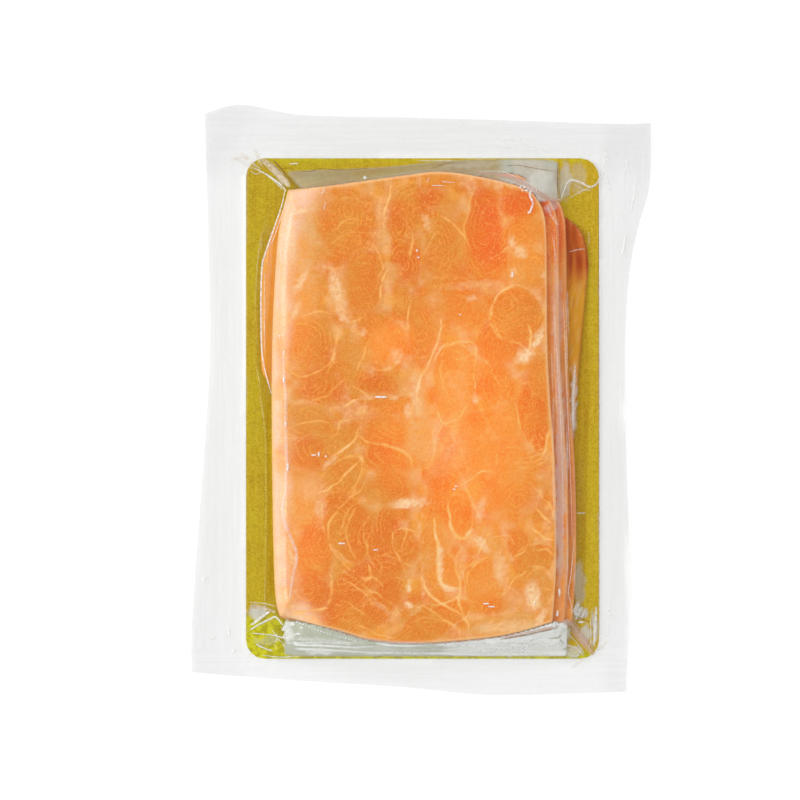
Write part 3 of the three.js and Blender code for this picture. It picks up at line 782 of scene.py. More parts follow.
# %% Seams of fat between flakes
# Each is the width in pixels, the strength and the pixels that the seam passes through.
SEAMS = {
    "upper third": [
        (1.4, 0.7, (391, 184), (387, 203), (384, 213), (387, 222)), (1.5, 0.6, (382, 284), (379, 300)),
        (1.3, 0.5, (385, 268), (382, 282)), (1.0, 0.5, (334, 233), (349, 221), (376, 221)),
        (1.0, 0.4, (331, 246), (350, 232), (378, 234)), (1.0, 0.4, (336, 204), (356, 199), (372, 206)),
        (1.2, 0.5, (345, 268), (334, 284), (326, 302)), (1.0, 0.45, (337, 304), (346, 322), (366, 318)),
        (1.0, 0.4, (436, 246), (440, 262)), (1.0, 0.4, (447, 216), (463, 229)),
        (1.0, 0.55, (528, 241), (536, 244), (543, 252)),
        (1.0, 0.45, (490, 258), (505, 249), (512, 247)), (1.0, 0.4, (420, 262), (430, 250), (434, 232)),
        (1.3, 0.5, (465, 221), (468, 204), (476, 189)), (1.4, 0.5, (443, 216), (461, 227), (466, 240)),
        (1.3, 0.5, (492, 307), (497, 296), (509, 290), (522, 288)),
        (1.2, 0.4, (372, 240), (380, 262), (376, 290)), (1.2, 0.4, (402, 216), (412, 240), (408, 262)),
        (1.1, 0.5, (300, 318), (316, 310), (334, 316)),
    ],
    "middle": [
        (1.6, 0.8, (439, 320), (436, 340), (426, 364), (418, 386), (411, 412)),
        (1.0, 0.5, (441, 322), (444, 331), (454, 330), (476, 320)),
        (1.2, 0.7, (437, 352), (455, 345), (474, 341), (476, 356), (474, 372), (477, 392)),
        (1.2, 0.6, (455, 359), (473, 355), (486, 362), (492, 372)),
        (1.0, 0.5, (477, 400), (482, 410), (490, 428)),
        (1.2, 0.6, (434, 404), (445, 421), (456, 417), (469, 403)),
        (1.1, 0.6, (444, 424), (436, 440), (431, 462)), (1.0, 0.4, (452, 434), (463, 456), (468, 476)),
        (1.3, 0.8, (527, 326), (531, 338), (528, 350)), (1.0, 0.5, (509, 339), (520, 343), (529, 350)),
        (1.0, 0.6, (490, 308), (494, 326), (504, 338)), (1.0, 0.5, (499, 451), (493, 472)),
        (1.2, 0.7, (549, 428), (544, 446), (540, 458)), (1.0, 0.4, (506, 372), (507, 398)),
        (1.5, 0.8, (318, 495), (335, 484), (350, 472), (364, 460)),
        (1.2, 0.6, (460, 484), (480, 470), (494, 474)), (1.1, 0.5, (352, 384), (366, 396), (362, 414)),
        (1.2, 0.5, (289, 413), (295, 407), (308, 400), (328, 396), (338, 384), (347, 379)),
        (1.2, 0.5, (287, 363), (295, 375), (305, 378), (322, 368), (332, 360), (338, 346), (339, 334)),
        (1.2, 0.5, (288, 432), (299, 426), (318, 423), (333, 425)),
        (1.1, 0.45, (333, 438), (341, 424), (353, 420)),
        (1.7, 0.75, (333, 458), (347, 446), (354, 437), (358, 428)),
        (2.0, 0.9, (344, 408), (350, 403), (357, 398)),
        (1.5, 0.6, (354, 431), (366, 440), (385, 447), (404, 449), (412, 461), (415, 474)),
        (1.3, 0.5, (366, 342), (364, 358), (360, 370)), (1.2, 0.45, (410, 300), (406, 330), (412, 352)),
        (1.2, 0.45, (404, 352), (396, 366), (382, 370), (368, 366)),
        (1.2, 0.45, (444, 350), (440, 368), (446, 392), (456, 406)),
        (1.3, 0.5, (492, 372), (500, 390), (497, 410)), (1.0, 0.5, (336, 330), (338, 350), (328, 372)),
    ],
    "lower third": [
        (1.4, 0.5, (367, 482), (349, 497), (332, 520), (331, 546), (343, 563), (358, 574)),
        (1.1, 0.5, (358, 505), (349, 522), (350, 546), (362, 566)),
        (1.1, 0.4, (372, 512), (364, 530), (370, 556), (384, 574)),
        (1.3, 0.4, (396, 512), (404, 530), (402, 556)), (1.2, 0.45, (352, 622), (376, 633), (400, 638)),
        (1.5, 0.85, (420, 528), (421, 560), (424, 584), (430, 594), (446, 602), (461, 614), (470, 634)),
        (2.2, 0.9, (433, 518), (438, 538), (440, 556), (438, 574), (444, 585), (457, 592)),
        (1.5, 0.7, (462, 546), (457, 562), (459, 578), (458, 592), (463, 608), (468, 626)),
        (1.1, 0.6, (408, 604), (430, 609), (446, 619), (462, 636)),
        (1.4, 0.8, (448, 498), (449, 520), (456, 533), (465, 537), (472, 528)),
        (1.2, 0.6, (465, 482), (474, 500), (479, 514)), (1.5, 0.7, (492, 532), (480, 546), (475, 556)),
        (1.1, 0.5, (493, 536), (508, 535), (512, 546)), (1.2, 0.6, (486, 557), (472, 565), (465, 584)),
        (1.3, 0.75, (534, 507), (541, 516), (552, 525)), (1.4, 0.8, (531, 525), (543, 536), (552, 543)),
        (1.1, 0.55, (528, 536), (524, 548), (513, 556)), (1.2, 0.6, (528, 565), (544, 567), (552, 576)),
        (1.3, 0.65, (526, 569), (515, 579), (509, 591)), (1.2, 0.6, (540, 588), (550, 592)),
        (1.2, 0.4, (374, 498), (360, 500), (349, 509), (344, 524), (344, 540)),
        (1.3, 0.5, (391, 531), (404, 529), (416, 536)),
        (1.3, 0.5, (392, 532), (395, 546), (403, 560), (416, 571)),
        (1.3, 0.45, (334, 565), (353, 577), (378, 594), (395, 607), (403, 618)),
        (1.2, 0.4, (335, 576), (356, 586), (378, 601), (389, 613)),
        (1.2, 0.4, (337, 600), (352, 606), (372, 620)),
        (1.8, 0.6, (358, 574), (366, 578), (373, 574), (371, 565)), (1.6, 0.55, (373, 574), (384, 588)),
        (2.2, 0.5, (331, 576), (333, 592), (328, 606)), (2.0, 0.6, (290, 614), (312, 609), (328, 610)),
        (1.4, 0.6, (538, 489), (542, 498), (548, 505), (552, 520)),
        (1.4, 0.6, (532, 548), (545, 550), (552, 557)), (1.6, 0.5, (478, 634), (493, 627), (504, 620)),
    ],
}
# Fine parallel bands in one flake: the pixel of the left end, the length and the rise in pixels.
BANDS = [(505, 447, 36, -3), (508, 452, 34, -3), (511, 457, 32, -4), (514, 462, 30, -4), (517, 467, 26, -5)]
print(sum(len(rows) for rows in SEAMS.values()), "seams")


# %% Smooth chance and ovals
def value_noise(x, y, size, seed):
    """Smooth random values from -1 to 1 that change over about size millimetres."""
    cells = 96
    chance = np.random.default_rng(seed).uniform(-1, 1, (cells + 1, cells + 1))
    column, row = (x / size) % cells, (y / size) % cells
    left, low = np.floor(column).astype(int), np.floor(row).astype(int)
    part_x, part_y = smooth_step(column - left, 0, 1), smooth_step(row - low, 0, 1)
    lower = mix(chance[low, left], chance[low, left + 1], part_x)
    upper = mix(chance[low + 1, left], chance[low + 1, left + 1], part_x)
    return mix(lower, upper, part_y)


def oval_distance(x, y, pixel_x, pixel_y, half_width, half_length, turn):
    """Distance from an oval's middle, 1 on its rim, and the direction there."""
    middle = photo(pixel_x, pixel_y)
    sine, cosine = math.sin(math.radians(turn)), math.cos(math.radians(turn))
    across = (x - middle[0]) * cosine + (y - middle[1]) * sine
    along = (y - middle[1]) * cosine - (x - middle[0]) * sine
    direction = np.arctan2(y - middle[1], x - middle[0])
    return np.hypot(across / (half_width * PIXEL), along / (half_length * PIXEL)), direction


def soft_oval(x, y, oval, core, border):
    """1 inside a share of an oval, falling smoothly to 0 at its border."""
    return 1 - smooth_step(oval_distance(x, y, *oval)[0], core, border)


print(f"chance at the hub: {float(value_noise(HUB[0], HUB[1], 9, 1)):.2f}")


# %% Painting the flesh
SEAM_WIDTH = 0.55  # half width of the seam on a flake's rim, in millimetres


def laid_flakes(x, y, depth):
    """The flakes laid on flesh of that depth of colour: depth, seams, rings, and what they cover."""
    seam, ring, cover = np.zeros((3, *x.shape))
    chance = np.random.default_rng(11).uniform(-0.4, 0.4, (len(FLAKES), 2))
    for (*oval, flake_depth, strength, side), (off_x, off_y) in zip(FLAKES, chance):
        size = math.sqrt(oval[2] * oval[3]) * PIXEL
        distance, direction = oval_distance(x, y, *oval)
        softness = mix(0.75, 1.1 / size, min(1, strength / 0.45))
        inside = 1 - smooth_step(distance, 1 - softness, 1 + 0.5 * softness)
        depth = mix(depth, 0.52 + 1.1 * (flake_depth - 0.5), inside * 0.85)
        cover = np.maximum(cover, inside)
        facing = 0.3 + 0.7 * np.maximum(0, np.cos(direction - math.radians(side)))
        line = strength * facing * np.exp(-(((distance - 1) * size / SEAM_WIDTH) ** 2))
        seam = np.maximum(seam * (1 - 0.85 * inside), line)
        middle = oval[0] + off_x * oval[2], oval[1] + off_y * oval[3]
        ring = np.where(distance < 1, oval_distance(x, y, *middle, *oval[2:])[0] * size, ring)
    return depth, seam, ring, cover


def laid_seams(x, y, bent_x, bent_y):
    """Strength of the drawn seams and of the fine parallel bands."""
    seam = np.zeros(x.shape)
    for width, strength, *pixels in (row for rows in SEAMS.values() for row in rows):
        distance, share = distance_to_line(bent_x, bent_y, smooth_line(photo_line(*pixels), 4))
        taper = np.sqrt(np.clip(4 * share * (1 - share), 0.12, 1))
        seam = np.maximum(seam, strength * np.exp(-((distance / (width * 0.42 * taper)) ** 2)))
    for left, top, length, rise in BANDS:
        band = photo_line((left, top), (left + length / 2, top + 1), (left + length, top + rise))
        seam = np.maximum(seam, 0.4 * np.exp(-((distance_to_line(x, y, band)[0] / 0.4) ** 2)))
    return seam


def laid_fat_and_highlights(x, y, cover):
    """Soft fat between the flakes and in its own ragged patches, some of them painted highlight strokes."""
    fat = 0.35 * (1 - cover) * np.clip(0.4 + value_noise(x, y, 4, 9), 0, 1)
    ragged_x = x + 0.9 * value_noise(x, y, 1.6, 12)
    ragged_y = y + 0.9 * value_noise(x, y, 1.6, 13)
    for *oval, strength in FAT_AND_HIGHLIGHT_PATCHES:
        fat = np.maximum(fat, strength * soft_oval(ragged_x, ragged_y, oval, 0.35, 1.2))
    return np.clip(fat, 0, 1)


def painted_shoulder_highlight(x, y):
    """Painted highlight on the rounded left shoulder, wider towards the top end."""
    width = mix(10.0, 18.0, smooth_step(y, 22, 56))
    width = mix(width, 13.0, 1 - smooth_step(y, -70, -20))
    from_left = TOP_SLICE.inset(x, y) + 3.5 * value_noise(x, y / 2, 7, 6)
    pale = 1 - np.clip(from_left / width, 0, 1)
    return smooth_step(pale, -0.1, 0.9) * (1 - smooth_step(x, -58, -42))


def flesh_values(x, y):
    """What the flesh needs at each point: its depth of colour, seams, rings, fat and painted highlight."""
    bent_x = x + 1.3 * value_noise(x, y, 9, 1) + 0.6 * value_noise(x, y, 3.5, 2)
    bent_y = y + 1.3 * value_noise(x, y, 9, 3) + 0.6 * value_noise(x, y, 3.5, 4)
    ground = 0.46 + 0.12 * value_noise(x, y, 8, 5)
    depth, seam, ring, cover = laid_flakes(bent_x, bent_y, ground)
    broken = 0.75 + 0.35 * value_noise(x, y, 2.2, 7) + 0.2 * value_noise(x, y, 6, 8)
    seam = np.maximum(seam, laid_seams(x, y, bent_x, bent_y))
    glow = np.zeros(x.shape)
    for *oval, strength in GLOWS:
        glow = np.maximum(glow, strength * soft_oval(bent_x, bent_y, oval, 0.3, 1.2))
    return {
        "depth": depth, "seam": np.clip(seam * broken, 0, 1), "ring": ring,
        "fat": laid_fat_and_highlights(x, y, cover), "pale": painted_shoulder_highlight(x, y),
        "rim": np.exp(-(((TOP_SLICE.inset(x, y) - 0.6) / 0.7) ** 2)), "glow": glow,
    }


sample = flesh_values(np.array([0.0]), np.array([0.0]))
print("in the middle:", ", ".join(f"{name} {float(value[0]):.2f}" for name, value in sample.items()))

# %% [markdown]
# ## The flesh's colour
#
# The flesh of every slice is the same stuff: orange that deepens to red, with the pale seams, the
# fine lines inside a flake and the fat mixed over it. Four separate materials would drift apart, so
# it is one node group, used for all slices with their own painted values. Noise finer than the mesh
# can carry is added inside it.

# %% The flesh group
FLESH_VALUES = {"Depth": 0.5, "Seam": 0.0, "Ring": 0.0, "Fat": 0.0, "Pale": 0.0, "Rim": 0.0, "Glow": 0.3}
FLESH_SOCKETS = [(name, "NodeSocketFloat", value) for name, value in FLESH_VALUES.items()]
FLESH_SOCKETS.append(("Place", "NodeSocketVector"))
FLESH_OUTPUTS = [("Colour", "NodeSocketColor"), ("Roughness", "NodeSocketFloat"),
                 ("Height", "NodeSocketFloat")]
RINGS_PER_METRE = 2500.0  # how closely the fine lines inside a flake lie
PALE_FLESH = tone(255, 180, 72)
SEAM_TONE = tone(255, 192, 104)
FAT = tone(255, 222, 176)


def flesh_group():
    """Colour, roughness and height of moist salmon flesh, from its painted values."""
    group, tree, given, out = new_group("salmon flesh", FLESH_SOCKETS, FLESH_OUTPUTS)
    place = given["Place"]
    cloudy = tree.noise(place, 70, 3)
    fine = tree.noise(place, 1100, 2)
    broken = tree.noise(place, 420, 3, roughness=0.6)
    patchy = tree.noise(place, 110, 2)

    cloud_share = tree.between(cloudy, 0.3, 0.7, -0.14, 0.14)
    grain_share = tree.between(broken, 0.3, 0.7, -0.08, 0.08)
    depth = tree.math("ADD", given["Depth"], tree.math("ADD", cloud_share, grain_share))
    colour = tree.ramp(
        depth,
        (0.0, tone(255, 180, 112)),
        (0.22, tone(255, 162, 74)),
        (0.42, tone(255, 147, 48)),
        (0.60, tone(255, 127, 28)),
        (0.78, tone(255, 111, 26)),
        (1.0, tone(255, 98, 30)),
    )
    dim = tree.math("SUBTRACT", 1.0, given["Glow"])
    colour = tree.blend(dim, colour, (0.76, 0.92, 0.95, 1), "MULTIPLY")
    # Painted highlight on the rounded left shoulder, from the Pale value.
    colour = tree.blend(tree.math("MULTIPLY", given["Pale"], 0.9), colour, tone(255, 215, 190))
    rings = tree.math("MULTIPLY_ADD", given["Ring"], RINGS_PER_METRE * MM, tree.math("MULTIPLY", broken, 2.4))
    rings = tree.between(tree.math("SINE", rings), 0.45, 1.0)
    rings = tree.math("MULTIPLY", rings, tree.between(patchy, 0.46, 0.62, 0.03, 0.42))
    colour = tree.blend(rings, colour, PALE_FLESH)
    marbling = tree.between(cloudy, 0.42, 0.62, 0.0, 0.4)
    marbling = tree.math("MULTIPLY", tree.between(broken, 0.5, 0.66), marbling)
    colour = tree.blend(marbling, colour, tone(255, 186, 84))
    colour = tree.blend(tree.between(given["Seam"], 0.02, 0.5, 0.0, 0.9), colour, SEAM_TONE)
    colour = tree.blend(tree.between(given["Seam"], 0.4, 0.95, 0.0, 0.85), colour, FAT)
    soft_fat = tree.math("MULTIPLY", given["Fat"], tree.between(broken, 0.34, 0.6, 0.5, 1.0))
    colour = tree.blend(soft_fat, colour, FAT)
    colour = tree.blend(tree.math("MULTIPLY", given["Rim"], 0.75), colour, tone(254, 206, 150))
    colour = tree.blend(tree.between(fine, 0.35, 0.7, 0.0, 0.2), colour, tone(238, 108, 10))
    grain = tree.noise(place, 1450, 1)
    colour = tree.blend(tree.between(grain, 0.4, 0.7, 0.0, 0.22), colour, tone(255, 206, 120))

    tree.set(out["Colour"], colour)
    tree.set(out["Roughness"], tree.between(fine, 0.3, 0.7, 0.3, 0.42))
    tree.set(out["Height"], tree.math("MULTIPLY_ADD", given["Seam"], -0.5, fine))
    return group


FLESH = flesh_group()
print("flesh group with", len(FLESH_SOCKETS), "inputs and", len(FLESH_OUTPUTS), "outputs")


# %% A material of flesh
def flesh_material(name, colour_of, painted):
    """Moist flesh that lets a little light in. colour_of(tree, colour) may tint one slice."""
    material, tree = new_material(name)
    values = {key.capitalize(): tree.painted(key) for key in painted}
    flesh = use_group(tree, FLESH, Place=tree.place(), **values)
    bump = tree.add("ShaderNodeBump", {"Height": flesh["Height"], "Strength": 0.2, "Distance": 0.0002})
    tree.finish(tree.principled(
        Base_Color=colour_of(tree, flesh["Colour"]), Roughness=flesh["Roughness"],
        Normal=bump.outputs[0], Specular_IOR_Level=0.15, Subsurface_Weight=0.12,
        Subsurface_Radius=(0.002, 0.0008, 0.0004), Subsurface_Scale=1.0))
    return material


top_flesh = flesh_material("top slice flesh", lambda tree, colour: colour,
                           ["depth", "seam", "ring", "fat", "pale", "rim", "glow"])
print("flesh of the top slice:", len(top_flesh.node_tree.nodes), "nodes")

# %% [markdown]
# ## The slices' shape
#
# A slice is a closed, soft-edged plate: the knife leaves a rounded upper edge and an upright cut side.
# A plate could be thickened by a modifier, but only its upper face and its side are ever seen. So the
# upper face is a fine sheet, and a few rings of points carry its rim down the side and back in under
# it, where they meet in one point.

# %% Building a slice
def rim_indices(rows, columns):
    """The rim of a sheet's points, counter-clockwise from the lower left corner."""
    index = np.arange(rows * columns).reshape(rows, columns)
    return np.concatenate([index[0, :-1], index[:-1, -1], index[-1, :0:-1], index[:0:-1, 0]])


def slice_piece(name, node, bottom_at, spacing, material, painted):
    """A closed slice: a fine upper face, an upright cut side, and a plain underside."""
    outline, top_at = SLICES[node]
    across, along = spacing
    x, y = sheet_points(outline, across, along).reshape(-1, 2).T
    z = top_at(x, y) - edge_fall(np.maximum(outline.inset(x, y), 0))
    points = [np.stack([x, y, z], axis=-1)]
    faces = [sheet_faces(len(along), len(across))]
    outer = rim_indices(len(along), len(across))
    rim_x, rim_y = x[outer], y[outer]
    low = bottom_at(rim_x, rim_y)
    count = len(x)
    side = [(1.0, z[outer] * 0.5 + low * 0.5), (1.0, low + 0.15), (0.997, low)]
    underside = [(0.93, None), (0.86, None), (0.5, None)]
    for share, height in side + underside:
        ring_x = HUB[0] + (rim_x - HUB[0]) * share
        ring_y = HUB[1] + (rim_y - HUB[1]) * share
        ring_z = bottom_at(ring_x, ring_y) if height is None else height
        points.append(np.stack([ring_x, ring_y, ring_z], axis=-1))
        inner = count + np.arange(len(rim_x))
        faces.append(ring_faces(inner, outer))
        outer = inner
        count += len(rim_x)
    points.append([[HUB[0], HUB[1], float(bottom_at(HUB[:1], HUB[1:])[0])]])
    last = np.stack([np.roll(outer, -1), outer, np.full(len(outer), count)], axis=-1)
    points = np.vstack(points)
    piece = new_piece(name, points, [*np.vstack(faces), *last], material,
                      painted(points[:, 0], points[:, 1]))
    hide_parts(node)


def layer_bottom(layer):
    """The height of an upper slice's underside, as a function of the place."""
    radius = SHOULDER - layer * LAYER - SLICE
    return lambda x, y: FOOT + drape(x, y, radius)


def rim_zones(length, width):
    """The two ends of a length, where a sheet is spaced finely."""
    return [(0, width), (length - width, length)]


print("rim of a sheet of 3 by 4 points:", rim_indices(3, 4))

# %% The top slice
TOP_SPACING = (
    shares_of(SHEET_WIDTH, rim_zones(SHEET_WIDTH, 2.5), 0.4, 0.58),
    shares_of(SHEET_LENGTH, rim_zones(SHEET_LENGTH, 2.5), 0.45, 0.58),
)
slice_piece("salmon_top", "slice_top", layer_bottom(0), TOP_SPACING, top_flesh,
            flesh_values)

# %% [markdown]
# ## The lower slices
#
# Of the three slices below only narrow steps show, on the right, at the top end and on the left. They
# are cut from nearer the skin: deep red at the top end, with pale lengthwise streaks lower down, over
# which a pale mauve highlight is painted on the right side. The last one is brown and glassy where it
# lies alone on the board, and on the right its darker colour is partly painted shade from the stack
# above it. Flakes would be too large for these steps, so stretched noise paints the streaks, and the
# meshes are fine only near their rims.

# %% What the middle slices carry
STREAKS = 2.2  # width of the lengthwise streaks in a slice's edge, in millimetres


def lower_values(x, y):
    """Deep red near the top end, paler with lengthwise streaks further down."""
    streak = value_noise(x + 0.05 * y, y / 14, STREAKS * 0.8, 23)
    depth = 0.5 + 0.5 * smooth_step(y, 58, 82) + 0.16 * streak + 0.12 * value_noise(x, y, 12, 21)
    pale = np.clip(0.35 + 0.6 * value_noise(x, y / 18, STREAKS * 0.7, 22), 0, 1)
    pale *= 1 - 0.7 * smooth_step(y, 60, 80)
    rims = np.zeros(x.shape)
    for outline, _ in list(SLICES.values())[1:3]:
        rims = np.maximum(rims, np.exp(-((outline.inset(x, y) - 0.6) / 0.6) ** 2))
    # mauve is a painted highlight over the pale streaks on the right side.
    return {"depth": depth, "fat": 0.25 * pale, "rim": rims, "mauve": 0.5 * pale * (x > 0)}


# Painted highlight: a pale mauve laid over the streaks on the right side.
def lower_highlight_tint(tree, colour):
    return tree.blend(tree.painted("mauve"), colour, tone(214, 148, 120))


lower_flesh = flesh_material("lower slice flesh", lower_highlight_tint, ["depth", "fat", "rim"])
print("flesh of the middle slices:", len(lower_flesh.node_tree.nodes), "nodes")


# %% What the bottom slice carries
def bottom_values(x, y):
    """Dark red in the lobe at the upper right, brown elsewhere on the right, orange on the left.
    On the right the darker colour is partly painted shade from the stack above.
    """
    right = smooth_step(x, 0, 20)
    lobe = right * smooth_step(y, 50, 68)
    depth = 0.45 + 0.12 * value_noise(x, y, 9, 24)
    rim = np.exp(-((BOTTOM_SLICE.inset(x, y) - 0.8) / 0.6) ** 2)
    streak = 0.8 + 0.4 * value_noise(x, y / 10, 1.6, 25)
    swirl = value_noise(x + 0.8 * value_noise(x, y, 4, 28), y / 6, 1.3, 26)
    edge = 0.45 * right * np.exp(-((BOTTOM_SLICE.inset(x, y) / 0.9) ** 2))
    dark = np.maximum(lobe * streak, np.maximum(edge, right * np.clip(0.7 * swirl - 0.15, 0, 0.5)))
    fat = right * (1 - lobe) * np.clip(-0.8 * swirl - 0.2, 0, 0.4)
    brown = np.maximum(0.55, right) * (1 - lobe)
    return {"depth": depth, "rim": 0.5 * rim, "dark": dark, "brown": brown, "pale_streak": fat}


# Partly painted shade: the brown and dark red on the right side stand for the stack's shade as well as glassy
# flesh over the gold.
def bottom_tint_and_shade(tree, colour):
    brown = tree.blend(tree.painted("brown"), colour, tone(226, 166, 44))
    brown = tree.blend(tree.painted("pale_streak"), brown, tone(236, 200, 140))
    return tree.blend(tree.painted("dark"), brown, tone(176, 70, 8))


dark_flesh = flesh_material("bottom slice flesh", bottom_tint_and_shade, ["depth", "rim"])
print("flesh of the bottom slice:", len(dark_flesh.node_tree.nodes), "nodes")

# %% The three lower slices
BOARD_GAP = 0.3  # between the board and the slice on it, in millimetres
LOWER_SPACING = (
    shares_of(SHEET_WIDTH, rim_zones(SHEET_WIDTH, 14), 0.8, 4.0),
    shares_of(SHEET_LENGTH, [(0, 8), (200, SHEET_LENGTH)], 1.0, 2.5),
)
for layer, place in enumerate(("middle", "lower"), start=1):
    slice_piece(f"salmon_{place}", f"slice_{place}", layer_bottom(layer), LOWER_SPACING, lower_flesh,
                lower_values)
slice_piece("salmon_bottom", "slice_bottom", lambda x, y: BOARD_TOP + BOARD_GAP + 0 * x,
            LOWER_SPACING, dark_flesh, bottom_values)

# %% [markdown]
# ## The gold board
#
# The board is card faced with gold foil. Seen from above it is a satin, slightly green gold with a
# fine lengthwise grain. Where the light falls flat at the ends, and in the crinkled lower left corner,
# the film's reflection is painted on as a greener tint, and painted shade darkens the left side. The
# imported board already has the right shape, so only its finish is made here: a metal over most of
# its share, with the grain, clouds and specks as noise. The underside isn't in the photograph and
# stays plain card, which the surface's own direction tells apart.

# %% Gold foil
gold_card, tree = new_material("gold card")
place = tree.place()
streaks = tree.noise(place, 900, 3, stretch=(1, 0.06, 1))
specks = tree.noise(place, 700, 2)
clouds = tree.noise(place, 30, 2)
mottle = tree.noise(place, 260, 2)
grain = tree.noise(place, 1500, 1)
gold = tree.blend(tree.between(streaks, 0.3, 0.7), tone(206, 166, 4), tone(220, 185, 18))
gold = tree.blend(tree.between(clouds, 0.35, 0.65, 0.0, 0.4), gold, tone(216, 196, 12))
gold = tree.blend(tree.between(mottle, 0.42, 0.68, 0.0, 0.3), gold, tone(190, 150, 0))
gold = tree.blend(tree.between(specks, 0.6, 0.8, 0.0, 0.35), gold, tone(150, 112, 0))
gold = tree.blend(tree.between(grain, 0.4, 0.7, 0.0, 0.3), gold, tone(240, 214, 84))
gold = tree.blend(tree.between(grain, 0.5, 0.3, 0.0, 0.25), gold, tone(160, 118, 0))
print("gold foil:", len(gold_card.node_tree.nodes), "nodes")

# %% Greener ends and corner as painted reflection, and painted shade
# Places on the board are in metres in the imported model's frame.
SHADED_SIDE = (0.0, -0.07)
CORNER_X, CORNER_Y = (-0.062, -0.066), (-0.1, -0.108)
LOW_END, HIGH_END = (-0.119, -0.1235), (0.1125, 0.1165)

x_at, y_at, _ = tree.add("ShaderNodeSeparateXYZ", {"Vector": place}).outputs[:3]
# Painted shade: the gold grows darker from the middle towards the left side.
gold = tree.blend(tree.between(x_at, *SHADED_SIDE), gold, (0.87, 0.9, 0.84, 1), "MULTIPLY")
# Painted reflection: at the ends and in the crinkled lower left corner the gold turns lime, as the film over
# it reflects the light.
corner = tree.math("MULTIPLY", tree.between(x_at, *CORNER_X), tree.between(y_at, *CORNER_Y))
crinkled = tree.between(tree.noise(place, 330, 2, roughness=0.6), 0.36, 0.6)
lime_reflection = tree.math("MAXIMUM", tree.math("MULTIPLY", corner, 0.85), tree.between(y_at, *LOW_END, 0.0, 0.8))
lime_reflection = tree.math("MAXIMUM", lime_reflection, tree.between(y_at, *HIGH_END, 0.0, 0.35))
gold = tree.blend(lime_reflection, gold, tree.blend(crinkled, tone(182, 176, 6), tone(222, 220, 34)))
print("greener past", CORNER_X, "and", CORNER_Y)

# %% Card underneath, and the whole finish
normal = tree.add("ShaderNodeNewGeometry").outputs["Normal"]
upward = tree.add("ShaderNodeSeparateXYZ", {"Vector": normal}).outputs[2]
under = tree.between(upward, 0.3, -0.3)
gold = tree.blend(under, gold, tree.blend(specks, tone(214, 208, 196), tone(226, 221, 210)))
bump = tree.add("ShaderNodeBump", {"Height": streaks, "Strength": 0.15, "Distance": 0.0001})
tree.finish(tree.principled(
    Base_Color=gold, Metallic=tree.math("MULTIPLY", tree.math("SUBTRACT", 1.0, under), 0.8),
    Roughness=tree.between(specks, 0.3, 0.7, 0.38, 0.5), Normal=bump.outputs[0]))
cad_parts["board"].material_slots[0].material = gold_card
print("the board is finished with", gold_card.name)

# %% [markdown]
# ## The films
#
# The pouch is made of two clear films a tenth of a millimetre thick. Over the flesh nothing is seen
# of them but gloss. In the welded margin they are faintly milky with fine streaks, and where the front
# film slopes down it mirrors the pale room as a grey haze with bright glints. Glass would bend what
# lies behind it and darken two thin sheets, so the film is a clear surface with a thin mirror on it,
# more at a flat angle, and a share of pale plastic wherever the mesh says that it is milky or hazy.
# That haze and its glints are painted reflection.

# %% Film material
HAZE_GOLD = tone(171, 131, 32), tone(177, 147, 52)  # haze over the gold near the slices
HAZE_GREY, HAZE_PALE = tone(188, 193, 172), tone(208, 200, 180)
GLINT, MILK, SHEEN = tone(242, 245, 241), tone(220, 221, 220), tone(232, 234, 226)


def haze_colour(tree, place):
    """Painted reflection on the slopes: grey haze, browner over the gold, with glints from side to side."""
    cloud = tree.between(tree.noise(place, 60, 2, stretch=(0.5, 1.6, 1)), 0.35, 0.65)
    colour = tree.blend(cloud, *HAZE_GOLD)
    colour = tree.blend(tree.between(tree.painted("pale_haze"), 0.1, 0.7), colour, HAZE_GREY)
    colour = tree.blend(tree.between(tree.painted("pale_haze"), 0.76, 0.95), colour, HAZE_PALE)
    glints = tree.noise(place, 420, 1, stretch=(0.05, 1, 1))
    edge = tree.between(tree.painted("bright"), 0.0, 1.0, 0.8, 0.34)
    glints = tree.between(tree.math("SUBTRACT", glints, edge), -0.03, 0.06)
    return tree.blend(glints, colour, GLINT)


def film_material(name):
    """Thin clear film. Where it is milky or hazy, a share of pale plastic is mixed in."""
    material, tree = new_material(name)
    place = tree.place()
    ripples = tree.noise(place, 60, 2, stretch=(1, 0.25, 1))
    strength = tree.math("MULTIPLY", tree.painted("loose"), 0.12)
    bump = tree.add("ShaderNodeBump", {"Height": ripples, "Strength": strength, "Distance": 0.001})
    facing = tree.add("ShaderNodeLayerWeight", {"Blend": 0.5, "Normal": bump.outputs[0]}).outputs["Facing"]
    mirror = tree.math("MULTIPLY_ADD", tree.math("POWER", facing, 5.0), 0.9, 0.018, clamp=True)
    tint = tree.blend(tree.painted("shade"), (0.996, 0.997, 0.996, 1), (0.86, 0.76, 0.62, 1))
    clear = tree.add("ShaderNodeBsdfTransparent", {"Color": tint})
    gloss = tree.add("ShaderNodeBsdfGlossy", {"Roughness": 0.12, "Normal": bump.outputs[0]})
    sheet = tree.shader_mix(mirror, clear.outputs[0], gloss.outputs[0])
    upright = tree.noise(place, 450, 2, stretch=(1, 0.05, 1))
    level = tree.noise(place, 450, 2, stretch=(0.05, 1, 1))
    streaks = tree.blend(tree.painted("level"), upright, level)
    streaks = tree.between(streaks, 0.35, 0.65, 0.94, 1.06)
    milky_share = tree.math("MULTIPLY", tree.painted("milky"), streaks, clamp=True)
    milk_tone = tree.blend(tree.painted("haze"), MILK, haze_colour(tree, place))
    milk_tone = tree.blend(tree.painted("sheen"), milk_tone, SHEEN)
    milky = tree.principled(Base_Color=milk_tone, Roughness=0.35, Specular_IOR_Level=0.2)
    tree.finish(tree.shader_mix(milky_share, sheet, milky))
    return material


FILM = film_material("clear film")
print("film:", len(FILM.node_tree.nodes), "nodes")

